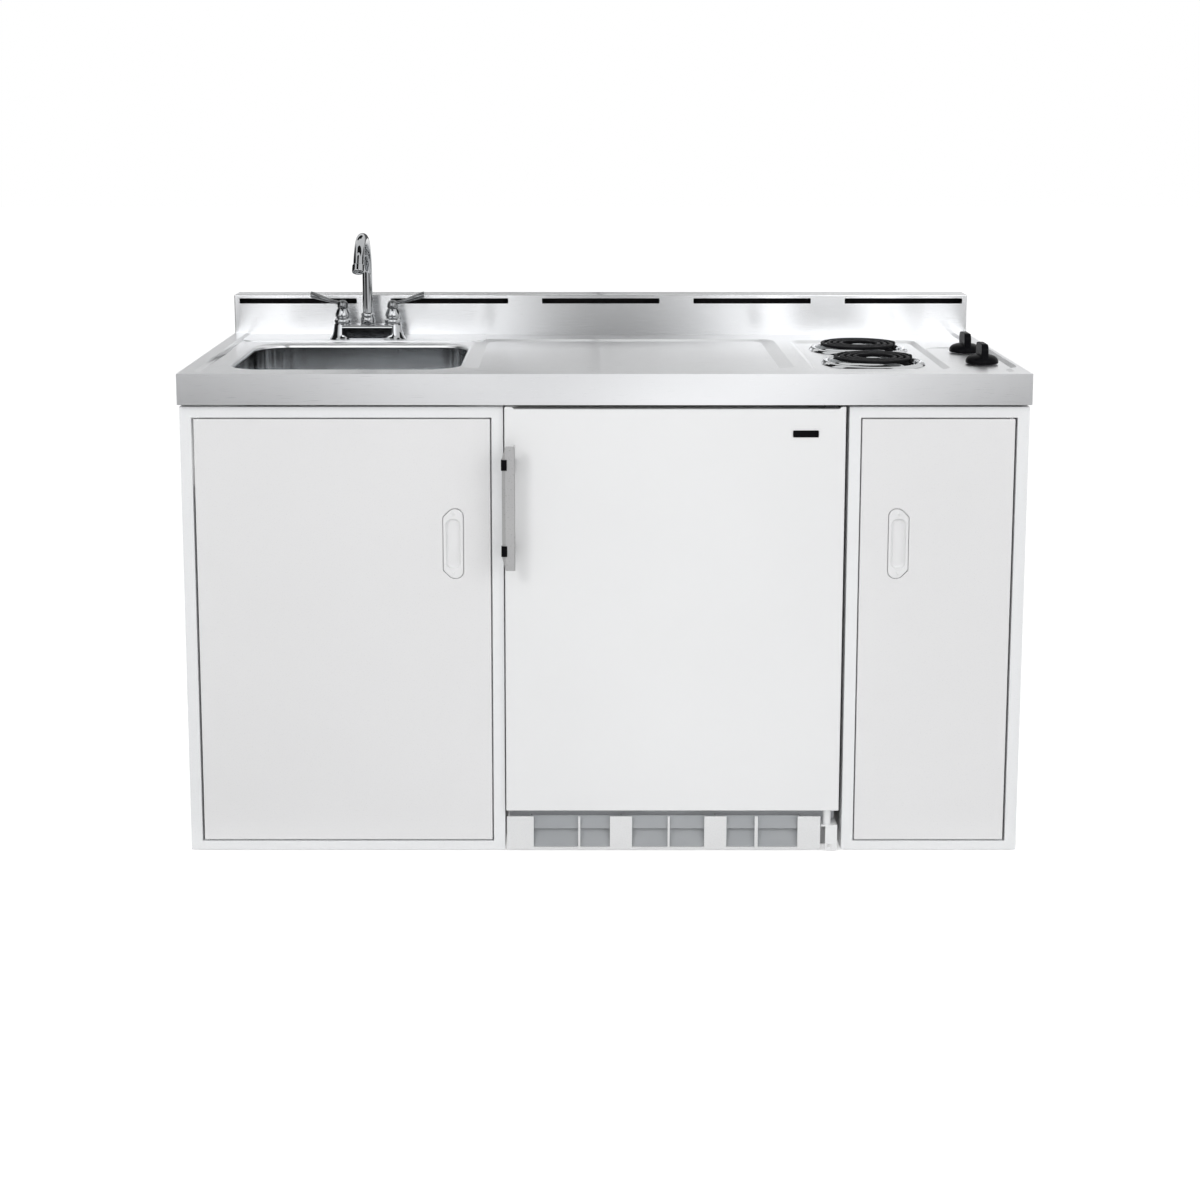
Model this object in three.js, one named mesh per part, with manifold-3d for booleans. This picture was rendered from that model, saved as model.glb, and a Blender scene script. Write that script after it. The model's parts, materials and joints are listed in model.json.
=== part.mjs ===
// A compact kitchenette: a stainless worktop with a pressed-in sink, a mixer tap and a two-plate coil hob,
// over a sink cupboard, an under-counter refrigerator and a narrow storage cupboard.
//
// Millimetres, +Z up. The origin is on the floor under the middle of the unit, X runs to the right as one
// faces it, and Y runs to the back. A "depth" is measured backwards from the front face of the worktop.
import * as THREE from "three";
import { mergeVertices } from "three/addons/utils/BufferGeometryUtils.js";
import Module from "manifold-3d";

const wasm = await Module();
wasm.setup();

// ---------------------------------------------------------------- driving dimensions
const WIDTH = 1524;
const COUNTER_HEIGHT = 892;
const COUNTER_DEPTH = 590; // to the face of the backsplash
const BACKSPLASH_DEPTH = 60;
const BACKSPLASH_HEIGHT = 80;
const APRON_HEIGHT = 56;
const HANDLE_PROUD = 30; // how far the refrigerator's handle stands in front of the worktop
const GAP = 0.3; // between pieces that touch
const SHEET = 1.2; // folded steel of the cupboards
const TOP_SHEET = 2; // stainless steel of the worktop

const SIDE_X = WIDTH / 2;
const TOTAL_DEPTH = COUNTER_DEPTH + BACKSPLASH_DEPTH;
const FRONT_Y = HANDLE_PROUD - (TOTAL_DEPTH + HANDLE_PROUD) / 2;
const UNDER_TOP = COUNTER_HEIGHT - APRON_HEIGHT; // underside of the worktop's apron

// Cupboards
const CABINET_FRONT = 12; // depth of the cupboards' front face
const CABINET_BACK = 640;
const CABINET_TOP = UNDER_TOP - 2;
const CABINET_SIDE_X = SIDE_X - 1;
const LEFT_INNER_X = -181.4;
const RIGHT_INNER_X = 438.5;
const STILE = 21; // width of a face frame's bars
const FRAME_DEPTH = 20;
const DOOR_THICK = 18;
const DOOR_FRONT = CABINET_FRONT + 0.5;
const OPENING_BOTTOM = 19;
const OPENING_TOP = 811;
const DOOR_GAP = 2.5;
const HINGE_GAP = 4;
const PIN_INSET = 7; // hinge pin's axis from the door's edge
const PIN_DEPTH = CABINET_FRONT + 6;
const PIN_R = 3;
const CUPBOARD_FLOOR = 20;
const FOOT_FLANGE = 24;
const SHELF_Z = 420;

// Door pulls, moulded cups let into the doors
const PULL = { wide: 35.5, tall: 127, pocketWide: 26, pocketTall: 92, depth: 14, proud: 2, wall: 1.4 };
const PULL_CENTRE_Z = 580.5;
const LEFT_PULL_X = -272.5;
const RIGHT_PULL_X = 531;

// Worktop
const RIM = 25; // width of the raised edge
const FIELD_DROP = 4;
const FIELD_TOP = COUNTER_HEIGHT - FIELD_DROP;
const DRAINER = { x0: -246, x1: 340, d0: 100, d1: 515, drop: 3.5, slope: 30, radius: 30 };
const HOB = { x0: 381, x1: 635, d0: 92, d1: 500, drop: 5, slope: 7, radius: 18 };
const HOB_TOP = FIELD_TOP - HOB.drop;
const SINK = { x: -476.5, d: 271, wide: 421, long: 360, radius: 60, deep: 165, wall: 1.5 };
const SINK_FLOOR = FIELD_TOP - SINK.deep;
const DRAIN_R = 44;

// Hob
const BURNER_X = 507;
const BURNER_DEPTHS = { front: 195, rear: 389 };
const BURNER_HOLE_R = 88;
const COIL = { outer: 76, pitch: 12, tube: 3.6, z: COUNTER_HEIGHT + 8, firstDeg: 14, lastDeg: 1350 };
const COIL_UNDER = COIL.z - 9; // height of the return run under the turns
const TERMINAL_Z = HOB_TOP - 15;
const TERMINAL_X = 104; // terminals from the middle of the coil
const KNOB_X = 704;
const KNOB_DEPTHS = { front: 160, rear: 318 };
const KNOB_Z = FIELD_TOP + 1.5;

// Tap
const TAP_X = SINK.x;
const TAP_DEPTH = 517;
const VALVE_OFFSET = 51; // 4 inch centres
const BRIDGE_TOP = FIELD_TOP + 31;
const SPOUT = { tube: 10.2, bend: 80, bendZ: FIELD_TOP + 133, sweepDeg: 150, end: 16 };

// Refrigerator
const FRIDGE = {
  x0: -175, x1: 428, front: 62.5, back: 600, bottom: 78, top: 826, notchDepth: 430, notchZ: 205,
};
const CAVITY = { x0: -137, x1: 390, back: 562, bottom: 118, top: 786, stepDepth: 400, stepZ: 245 };
const FDOOR = { x0: -179, x1: 431.5, front: 4, back: 47, bottom: 80, top: 828 };
const FRIDGE_PIVOT = { x: 412, d: 21 };
const LINER_WALL = 2;
const HANDLE = { x0: -177.4, x1: -159.2, z0: 540.5, z1: 766 };
const BRACKET_Z = [577, 733];
const BASE_FRONT = 44;
const KICK = { x0: -178, x1: 399.5, z0: 2.5, z1: 66, d: 12, thick: 3 };
const KICK_WINDOWS = [[-129, -47], [-43, 11.5], [52.5, 118], [122, 185.5], [226.5, 278.5], [284.5, 357.5]];
const KICK_SLATS = [{ low: 7, high: 45, back: 11 }, { low: 42, high: 65, back: 6.5 }]; // heights, and lean

// ---------------------------------------------------------------- finishes
const FINISH = {
  steel: { color: 0xc9ccce, roughness: 0.28, metalness: 1 },
  chrome: { color: 0xe2e4e6, roughness: 0.08, metalness: 1 },
  enamel: { color: 0xe9ebec, roughness: 0.38, metalness: 0 },
  galvanised: { color: 0xa7abad, roughness: 0.5, metalness: 0.9 },
  whitePlastic: { color: 0xeceded, roughness: 0.35, metalness: 0 },
  blackPlastic: { color: 0x121213, roughness: 0.35, metalness: 0 },
  blackMetal: { color: 0x17181a, roughness: 0.55, metalness: 0.4 },
  greyPaint: { color: 0xb0b1b2, roughness: 0.35, metalness: 0.2 },
  greyPlastic: { color: 0xa8acb0, roughness: 0.4, metalness: 0 },
  rubber: { color: 0xd9dad9, roughness: 0.7, metalness: 0 },
  glass: { color: 0xd8ecea, roughness: 0.05, metalness: 0 },
  clearPlastic: { color: 0xe6eef2, roughness: 0.15, metalness: 0 },
  ceramic: { color: 0xd9d3c4, roughness: 0.6, metalness: 0 },
};

// ---------------------------------------------------------------- shape tools
const group = new THREE.Group();
const yAt = (depth) => FRONT_Y + depth;

// A closed three.js geometry as a solid that can be cut and joined.
function solid(geometry) {
  const bare = geometry.index ? geometry.toNonIndexed() : geometry.clone();
  bare.deleteAttribute("normal");
  bare.deleteAttribute("uv");
  const merged = mergeVertices(bare, 1e-4);
  const made = new wasm.Manifold(new wasm.Mesh({
    numProp: 3,
    vertProperties: merged.attributes.position.array,
    triVerts: new Uint32Array(merged.index.array),
  }));
  return made;
}

// Back from a solid to a geometry.
function geometryOf(shape) {
  const mesh = shape.getMesh();
  const geometry = new THREE.BufferGeometry();
  geometry.setAttribute("position", new THREE.BufferAttribute(Float32Array.from(mesh.vertProperties), 3));
  geometry.setIndex(new THREE.BufferAttribute(Uint32Array.from(mesh.triVerts), 1));
  geometry.computeVertexNormals();
  return geometry;
}

const join = (...shapes) => shapes.reduce((a, b) => a.add(b));
const cut = (shape, ...tools) => tools.reduce((a, b) => a.subtract(b), shape);

// Adds one sub-part to the unit under its name.
function piece(name, shape, finish) {
  const geometry = shape.isBufferGeometry ? shape : geometryOf(shape);
  const mesh = new THREE.Mesh(geometry, new THREE.MeshStandardMaterial(FINISH[finish]));
  mesh.name = name;
  group.add(mesh);
  return mesh;
}

// A box between two X, two depths and two heights.
function box(x0, x1, d0, d1, z0, z1) {
  const geometry = new THREE.BoxGeometry(x1 - x0, d1 - d0, z1 - z0);
  geometry.translate((x0 + x1) / 2, yAt((d0 + d1) / 2), (z0 + z1) / 2);
  return solid(geometry);
}

// An upright cylinder or cone.
function round(x, depth, z0, z1, r0, r1 = r0, sides = 24) {
  const geometry = new THREE.CylinderGeometry(r1, r0, z1 - z0, sides);
  geometry.rotateX(Math.PI / 2);
  geometry.translate(x, yAt(depth), (z0 + z1) / 2);
  return solid(geometry);
}

// A solid turned about an upright axis, from [radius, height] points that start and end on the axis
// or close on themselves.
function turned(x, depth, profile, sides = 32) {
  const geometry = new THREE.LatheGeometry(profile.map(([r, z]) => new THREE.Vector2(r, z)), sides);
  geometry.rotateX(Math.PI / 2);
  geometry.translate(x, yAt(depth), 0);
  return solid(geometry);
}

// A rounded rectangle about the origin.
function roundedRect(wide, long, radius) {
  const r = Math.min(radius, wide / 2 - 0.01, long / 2 - 0.01);
  const [a, b] = [wide / 2 - r, long / 2 - r];
  const shape = new THREE.Shape();
  shape.absarc(a, b, r, 0, Math.PI / 2);
  shape.absarc(-a, b, r, Math.PI / 2, Math.PI);
  shape.absarc(-a, -b, r, Math.PI, 1.5 * Math.PI);
  shape.absarc(a, -b, r, 1.5 * Math.PI, 2 * Math.PI);
  return shape;
}

// A flat outline in X and depth, raised between two heights.
function slab(shape, x, depth, z0, z1, curveSegments = 6) {
  const geometry = new THREE.ExtrudeGeometry(shape, { depth: z1 - z0, bevelEnabled: false, curveSegments });
  geometry.translate(x, yAt(depth), z0);
  return solid(geometry);
}

// A flat outline in X and Z, standing between two depths.
function upright(shape, x, z, d0, d1, curveSegments = 6) {
  const geometry = new THREE.ExtrudeGeometry(shape, { depth: d1 - d0, bevelEnabled: false, curveSegments });
  geometry.rotateX(Math.PI / 2);
  geometry.translate(x, yAt(d1), z);
  return solid(geometry);
}

// A profile of [depth, height] points, drawn out along X.
function prism(points, x0, x1) {
  const shape = new THREE.Shape(points.map(([d, z]) => new THREE.Vector2(yAt(d), z)));
  const geometry = new THREE.ExtrudeGeometry(shape, { depth: x1 - x0, bevelEnabled: false });
  geometry.applyMatrix4(new THREE.Matrix4().set(0, 0, 1, x0, 1, 0, 0, 0, 0, 1, 0, 0, 0, 0, 0, 1));
  return solid(geometry);
}

// The points of a ring at one height: a rounded rectangle, by default about the middle of the sink.
function rectRing(wide, long, radius, z, x, depth, perCorner = 6) {
  const r = Math.min(radius, wide / 2 - 0.01, long / 2 - 0.01);
  const ring = [];
  for (let corner = 0; corner < 4; corner += 1) {
    const cx = (corner === 0 || corner === 3 ? 1 : -1) * (wide / 2 - r);
    const cy = (corner < 2 ? 1 : -1) * (long / 2 - r);
    for (let i = 0; i <= perCorner; i += 1) {
      const angle = (Math.PI / 2) * (corner + i / perCorner);
      ring.push([x + cx + r * Math.cos(angle), yAt(depth) + cy + r * Math.sin(angle), z]);
    }
  }
  return ring;
}

// A circle with the same number of points as a rounded rectangle's ring, in the same order.
function circleRing(radius, z, x, depth, perCorner = 6) {
  const count = 4 * (perCorner + 1);
  return Array.from({ length: count }, (_, i) => {
    const angle = (Math.PI * 2 * (i + 0.5)) / count;
    return [x + radius * Math.cos(angle), yAt(depth) + radius * Math.sin(angle), z];
  });
}

// A skin through rings of equal count. It closes on itself, or is capped by fans at both ends.
function throughRings(rings, closesOnItself) {
  const count = rings[0].length;
  const positions = rings.flat(2);
  const index = [];
  const bands = closesOnItself ? rings.length : rings.length - 1;
  for (let k = 0; k < bands; k += 1) {
    const [a, b] = [k * count, ((k + 1) % rings.length) * count];
    for (let i = 0; i < count; i += 1) {
      const j = (i + 1) % count;
      index.push(a + i, a + j, b + j, a + i, b + j, b + i);
    }
  }
  if (!closesOnItself) {
    const last = (rings.length - 1) * count;
    for (let i = 1; i < count - 1; i += 1) {
      index.push(0, i + 1, i);
      index.push(last, last + i, last + i + 1);
    }
  }
  const geometry = new THREE.BufferGeometry();
  geometry.setAttribute("position", new THREE.BufferAttribute(new Float32Array(positions), 3));
  geometry.setIndex(index);
  return solid(geometry);
}

// A shallow dish in a sheet: the space above it, or with lower = the sheet's thickness, the sheet under it.
function dish(at, top, lower) {
  const [x, d] = [(at.x0 + at.x1) / 2, (at.d0 + at.d1) / 2];
  const [wide, long] = [at.x1 - at.x0, at.d1 - at.d0];
  const bottom = top - at.drop - lower;
  const start = top - lower + (lower ? 0 : 3);
  const inset = 2 * at.slope;
  return throughRings([
    rectRing(wide - inset, long - 2 * Math.min(at.slope, 8), at.radius, bottom, x, d),
    rectRing(wide, long, at.radius + 4, top - lower, x, d),
    ...(lower ? [] : [rectRing(wide, long, at.radius + 4, start, x, d)]),
  ], false);
}

const polygon = (radius, sides) => Array.from({ length: sides }, (_, i) => {
  const angle = (2 * Math.PI * i) / sides;
  return new THREE.Vector2(radius * Math.cos(angle), radius * Math.sin(angle));
});
const curveThrough = (points) => new THREE.CatmullRomCurve3(
  points.map((p) => new THREE.Vector3(...p)), false, "centripetal");

// A section drawn along a curve, and a round bar as the commonest case of it.
const sweep = (points, section, steps) => new THREE.ExtrudeGeometry(section, {
  steps, extrudePath: curveThrough(points), bevelEnabled: false,
});
const tube = (points, radius, steps, sides) => sweep(points, new THREE.Shape(polygon(radius, sides)), steps);

// The least gap between runs of a tube that are further apart along it than a few diameters.
function leastGap(points, radius) {
  const curve = curveThrough(points);
  const samples = curve.getSpacedPoints(Math.ceil(curve.getLength()));
  const apart = Math.ceil(8 * radius);
  let least = Infinity;
  for (let i = 0; i < samples.length; i += 1) {
    for (let j = i + apart; j < samples.length; j += 1) {
      least = Math.min(least, samples[i].distanceTo(samples[j]) - 2 * radius);
    }
  }
  return least;
}

// ---------------------------------------------------------------- cupboards
// The side that carries the hinge is -1 for the left cupboard and +1 for the right one.
function cupboard(side, outerX, innerX, name, shelfZ) {
  const [x0, x1] = side < 0 ? [outerX, innerX] : [innerX, outerX];
  const behindFrame = CABINET_FRONT + FRAME_DEPTH + 1;
  const wrap = join(
    box(x0, x0 + SHEET, CABINET_FRONT + GAP, CABINET_BACK, 0, CABINET_TOP),
    box(x1 - SHEET, x1, CABINET_FRONT + GAP, CABINET_BACK, 0, CABINET_TOP),
    box(x0, x1, behindFrame, CABINET_BACK, CUPBOARD_FLOOR - SHEET, CUPBOARD_FLOOR),
    box(x0, x0 + FOOT_FLANGE, behindFrame, CABINET_BACK, 0, SHEET),
    box(x1 - FOOT_FLANGE, x1, behindFrame, CABINET_BACK, 0, SHEET),
  );
  const lugs = shelfZ ? [[x0, x0 + 12], [x1 - 12, x1]].flatMap(([a, b]) => [130, 520].map((d) => box(
    a + SHEET / 2, b - SHEET / 2, d, d + 22, shelfZ - 8, shelfZ - GAP))) : [];
  piece(`${name}_carcass`, join(wrap, ...lugs), "enamel");

  const [fx0, fx1] = [x0 + SHEET + GAP, x1 - SHEET - GAP];
  const [ox0, ox1] = [x0 + STILE, x1 - STILE];
  const block = box(fx0, fx1, CABINET_FRONT, CABINET_FRONT + FRAME_DEPTH, 0, CABINET_TOP);
  const opening = box(ox0, ox1, CABINET_FRONT - 1, CABINET_FRONT + FRAME_DEPTH + 1,
    OPENING_BOTTOM, OPENING_TOP);
  const behind = CABINET_FRONT + SHEET;
  const pocket = cut(
    box(fx0 - 1, fx1 + 1, behind, CABINET_FRONT + FRAME_DEPTH + 1, -1, CABINET_TOP + 1),
    box(ox0 - SHEET, ox1 + SHEET, behind - 1, CABINET_FRONT + FRAME_DEPTH + 2,
      OPENING_BOTTOM - SHEET, OPENING_TOP + SHEET),
  );
  const hingeX = side < 0 ? ox0 + HINGE_GAP + PIN_INSET : ox1 - HINGE_GAP - PIN_INSET;
  const pinHole = round(hingeX, PIN_DEPTH, OPENING_BOTTOM - 10, OPENING_TOP + 10,
    PIN_R + GAP, PIN_R + GAP, 12);
  piece(`${name}_face_frame`, cut(block, opening, pocket, pinHole), "enamel");
  piece(`${name}_hinge_pin`, round(hingeX, PIN_DEPTH, OPENING_BOTTOM - 6, OPENING_TOP + 6, PIN_R, PIN_R, 12),
    "chrome");
  return { x0, x1, ox0, ox1, hingeX };
}

// A double-skinned door with a cup-shaped pull let into it.
function cupboardDoor(side, frame, pullX, name) {
  const x0 = frame.ox0 + (side < 0 ? HINGE_GAP : DOOR_GAP);
  const x1 = frame.ox1 - (side < 0 ? DOOR_GAP : HINGE_GAP);
  const [z0, z1] = [OPENING_BOTTOM + DOOR_GAP, OPENING_TOP - DOOR_GAP];
  const [d0, d1] = [DOOR_FRONT, DOOR_FRONT + DOOR_THICK];
  const seatGrow = 2 * (PULL.wall + GAP);
  const seat = upright(roundedRect(PULL.pocketWide + seatGrow, PULL.pocketTall + seatGrow, 8),
    pullX, PULL_CENTRE_Z, d0 - 1, d0 + SHEET + 1, 4);
  const pinHole = round(frame.hingeX, PIN_DEPTH, z0 - 1, z1 + 1, PIN_R + GAP, PIN_R + GAP, 12);
  const hollow = box(x0 + SHEET, x1 - SHEET, d0 + SHEET, d1 - SHEET, z0 + SHEET, z1 - SHEET);
  piece(`${name}_door`, cut(box(x0, x1, d0, d1, z0, z1), hollow, seat, pinHole), "enamel");

  const flange = upright(roundedRect(PULL.wide, PULL.tall, PULL.wide / 2), pullX, PULL_CENTRE_Z,
    d0 - GAP - PULL.proud, d0 - GAP);
  const cup = upright(roundedRect(PULL.pocketWide + 2 * PULL.wall, PULL.pocketTall + 2 * PULL.wall, 8),
    pullX, PULL_CENTRE_Z, d0 - GAP - 1, d0 + PULL.depth, 4);
  const pocket = upright(roundedRect(PULL.pocketWide, PULL.pocketTall, 7), pullX, PULL_CENTRE_Z,
    d0 - 5, d0 + PULL.depth - PULL.wall, 4);
  piece(`${name}_door_pull`, cut(join(flange, cup), pocket), "whitePlastic");
}

// A magnetic catch behind the free edge of a door.
function catchBlock(name, x0, x1) {
  piece(name, box(x0, x1, CABINET_FRONT + FRAME_DEPTH + 0.5, CABINET_FRONT + FRAME_DEPTH + 14, 655, 695),
    "whitePlastic");
}

const leftFrame = cupboard(-1, -CABINET_SIDE_X, LEFT_INNER_X, "left");
const rightFrame = cupboard(1, CABINET_SIDE_X, RIGHT_INNER_X, "right", SHELF_Z);
cupboardDoor(-1, leftFrame, LEFT_PULL_X, "left");
cupboardDoor(1, rightFrame, RIGHT_PULL_X, "right");
catchBlock("left_catch", leftFrame.ox1 - 20, leftFrame.x1 - SHEET - GAP);
catchBlock("right_catch", rightFrame.x0 + SHEET + GAP, rightFrame.ox0 + 20);

// The sink cupboard's back stops short of the top and leaves the way through for pipes.
const PIPE_GAP_BOTTOM = 560;
const backPanel = (frame, top) => box(frame.x0 + SHEET + GAP, frame.x1 - SHEET - GAP,
  CABINET_BACK - 8, CABINET_BACK - 8 + SHEET, CUPBOARD_FLOOR + GAP, top);
piece("left_back", backPanel(leftFrame, PIPE_GAP_BOTTOM), "galvanised");
piece("right_back", backPanel(rightFrame, CABINET_TOP), "galvanised");

// A shelf with a turned-down front edge, half way up the storage cupboard.
const [shelfX0, shelfX1] = [rightFrame.x0 + SHEET + GAP, rightFrame.x1 - SHEET - GAP];
piece("right_shelf", join(
  box(shelfX0, shelfX1, 90, CABINET_BACK - 9, SHELF_Z, SHELF_Z + SHEET),
  box(shelfX0, shelfX1, 90, 90 + SHEET, SHELF_Z - 22, SHELF_Z + 0.5),
), "enamel");

// ---------------------------------------------------------------- worktop, sink and backsplash
// Round holes for the tap's shanks, the burners and the switch shafts.
function worktopHoles() {
  const holes = [
    slab(roundedRect(SINK.wide, SINK.long, SINK.radius), SINK.x, SINK.d, FIELD_TOP - 20, COUNTER_HEIGHT + 5),
  ];
  for (const depth of Object.values(BURNER_DEPTHS)) {
    holes.push(round(BURNER_X, depth, HOB_TOP - 20, COUNTER_HEIGHT, BURNER_HOLE_R, BURNER_HOLE_R, 32));
  }
  for (const depth of Object.values(KNOB_DEPTHS)) {
    holes.push(round(KNOB_X, depth, HOB_TOP - 20, COUNTER_HEIGHT, 5, 5, 12));
  }
  for (const offset of [-VALVE_OFFSET, VALVE_OFFSET]) {
    holes.push(round(TAP_X + offset, TAP_DEPTH, HOB_TOP - 20, COUNTER_HEIGHT, 12, 12, 16));
  }
  return holes;
}

function worktop() {
  const field = { x0: RIM - SIDE_X, x1: SIDE_X - RIM, d0: RIM, d1: COUNTER_DEPTH + 30, drop: FIELD_DROP,
    slope: 4, radius: 14 };
  const back = COUNTER_DEPTH - GAP;
  const edge = box(-SIDE_X, SIDE_X, 0, back, UNDER_TOP, COUNTER_HEIGHT - TOP_SHEET);
  const inside = box(TOP_SHEET - SIDE_X, SIDE_X - TOP_SHEET, TOP_SHEET, back + 1, UNDER_TOP - 1,
    COUNTER_HEIGHT - TOP_SHEET + 1);
  const plate = box(-SIDE_X, SIDE_X, 0, back, COUNTER_HEIGHT - TOP_SHEET, COUNTER_HEIGHT);
  const lip = box(-SIDE_X, SIDE_X, 0, 14, UNDER_TOP, UNDER_TOP + TOP_SHEET);
  const behind = box(-SIDE_X - 1, SIDE_X + 1, back, back + 60, UNDER_TOP - 40, COUNTER_HEIGHT + 9);
  let sheet = join(cut(edge, inside), plate, lip, dish(field, COUNTER_HEIGHT, TOP_SHEET));
  sheet = join(sheet, dish(DRAINER, FIELD_TOP, TOP_SHEET), dish(HOB, FIELD_TOP, TOP_SHEET));
  sheet = cut(sheet, dish(field, COUNTER_HEIGHT, 0), dish(DRAINER, FIELD_TOP, 0), dish(HOB, FIELD_TOP, 0));
  return cut(sheet, behind, ...worktopHoles());
}
piece("worktop", worktop(), "steel");

function sinkBowl() {
  const { x, d, wide, long, radius, wall } = SINK;
  const top = FIELD_TOP - TOP_SHEET - GAP;
  const ring = (grow, z, r) => rectRing(wide + 2 * grow, long + 2 * grow, r, z, x, d);
  const flangeGrow = 13;
  return throughRings([
    ring(flangeGrow, top - wall, radius + flangeGrow),
    ring(flangeGrow, top, radius + flangeGrow),
    ring(0, top, radius),
    ring(-3, SINK_FLOOR + 26, radius - 3),
    ring(-9, SINK_FLOOR + 9, radius - 9),
    ring(-26, SINK_FLOOR + 2, radius - 26),
    circleRing(DRAIN_R + GAP, SINK_FLOOR - 1, x, d),
    circleRing(DRAIN_R + GAP, SINK_FLOOR - 1 - wall, x, d),
    ring(-26, SINK_FLOOR + 2 - wall, radius - 26),
    ring(-9 + wall, SINK_FLOOR + 9 - wall, radius - 9),
    ring(-3 + wall, SINK_FLOOR + 26, radius - 3),
    ring(wall, top - wall, radius),
  ], true);
}
piece("sink_bowl", sinkBowl(), "steel");

// The backsplash is a folded box with five air slots that let warm air out from behind the refrigerator.
const SLOT = { pitch: 314.5, long: 244, z: FIELD_TOP + 71, high: 11 };
function backsplash() {
  const [d0, d1] = [COUNTER_DEPTH, TOTAL_DEPTH];
  const [z0, z1] = [FIELD_TOP - 48, COUNTER_HEIGHT + BACKSPLASH_HEIGHT];
  const shell = cut(
    box(-SIDE_X, SIDE_X, d0, d1, z0, z1),
    box(SHEET - SIDE_X, SIDE_X - SHEET, d0 + SHEET, d1 - SHEET, z0 - 1, z1 - SHEET),
  );
  const slots = [-2, -1, 0, 1, 2].map((k) => k * SLOT.pitch).map((middle) => box(
    middle - SLOT.long / 2, middle + SLOT.long / 2, d0 - 1, d0 + SHEET + 1,
    SLOT.z - SLOT.high / 2, SLOT.z + SLOT.high / 2));
  return cut(shell, ...slots);
}
piece("backsplash", backsplash(), "steel");

// ---------------------------------------------------------------- waste
const WASTE_TOP = SINK_FLOOR - 0.5;
piece("drain_flange", turned(SINK.x, SINK.d, [
  [29, WASTE_TOP - 46], [33, WASTE_TOP - 46], [35, WASTE_TOP - 44], [38, WASTE_TOP - 6],
  [DRAIN_R - 1, WASTE_TOP - 2.4], [DRAIN_R - 1, WASTE_TOP + 0.3], [40, WASTE_TOP + 0.6],
  [35, WASTE_TOP - 7], [32, WASTE_TOP - 42], [24, WASTE_TOP - 43.5], [24, WASTE_TOP - 46],
  [29, WASTE_TOP - 46],
], 20), "chrome");

function strainerBasket() {
  const floor = WASTE_TOP - 30;
  const shell = turned(SINK.x, SINK.d, [
    [0, floor - 1.5], [26, floor - 1.5], [31, floor + 20], [36.5, floor + 28.5], [39, WASTE_TOP + 2],
    [37, WASTE_TOP + 2.4], [34.5, floor + 29], [29.5, floor + 21], [25, floor], [6, floor],
    [5, floor + 22], [8, floor + 26], [5, floor + 30], [0, floor + 31],
  ], 18);
  const [holeCount, holeRing, holeR] = [8, 16, 3.2];
  const holes = Array.from({ length: holeCount }, (_, i) => {
    const angle = (2 * Math.PI * (i + 0.5)) / holeCount;
    return round(SINK.x + holeRing * Math.cos(angle), SINK.d + holeRing * Math.sin(angle),
      floor - 5, floor + 5, holeR, holeR, 8);
  });
  return cut(shell, ...holes);
}
piece("strainer_basket", strainerBasket(), "chrome");

// Tailpiece, U-bend and outlet pipe, open from end to end.
function trap() {
  const [bore, wall, bend] = [17, 2.5, 38];
  const low = 560;
  const outletZ = 640;
  const top = WASTE_TOP - 46 - GAP;
  const arc = (d, z, from, to) => Array.from({ length: 7 }, (_, i) => {
    const a = THREE.MathUtils.degToRad(from + ((to - from) * i) / 6);
    return [SINK.x, yAt(d) + bend * Math.cos(a), z + bend * Math.sin(a)];
  });
  const route = [
    [SINK.x, yAt(SINK.d), top], [SINK.x, yAt(SINK.d), top - 40], [SINK.x, yAt(SINK.d), low + 20],
    ...arc(SINK.d + bend, low, 180, 360),
    [SINK.x, yAt(SINK.d + 2 * bend), low + 20],
    ...arc(SINK.d + 3 * bend, outletZ - bend, 180, 90),
    [SINK.x, yAt(SINK.d + 3 * bend + 60), outletZ], [SINK.x, yAt(CABINET_BACK), outletZ],
  ];
  const section = new THREE.Shape(polygon(bore + wall, 12));
  section.holes.push(new THREE.Path(polygon(bore, 12).reverse()));
  return solid(sweep(route, section, 26));
}
piece("drain_trap", trap(), "whitePlastic");

// ---------------------------------------------------------------- tap
function tapBody() {
  const d = TAP_DEPTH;
  const foot = FIELD_TOP + GAP;
  const bridge = box(TAP_X - VALVE_OFFSET, TAP_X + VALVE_OFFSET, d - 22, d + 22, foot, BRIDGE_TOP);
  const valves = [TAP_X - VALVE_OFFSET, TAP_X + VALVE_OFFSET];
  const bells = valves.map((x) => turned(x, d, [
    [0, foot], [27, foot], [27, foot + 3], [22, foot + 12], [18.5, foot + 24],
    [17, BRIDGE_TOP + 3], [0, BRIDGE_TOP + 3],
  ], 22));
  const shanks = valves.map((x) => round(x, d, foot - 46, foot + 2, 10, 10, 16));
  const seat = round(TAP_X, d, BRIDGE_TOP - 20, BRIDGE_TOP + 1, 8, 8, 20);
  const valveSeats = valves.map((x) => round(x, d, BRIDGE_TOP - 14, BRIDGE_TOP + 6, 9, 9, 16));
  return cut(join(bridge, ...bells, ...shanks), seat, ...valveSeats);
}
piece("tap_body", tapBody(), "chrome");

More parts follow.
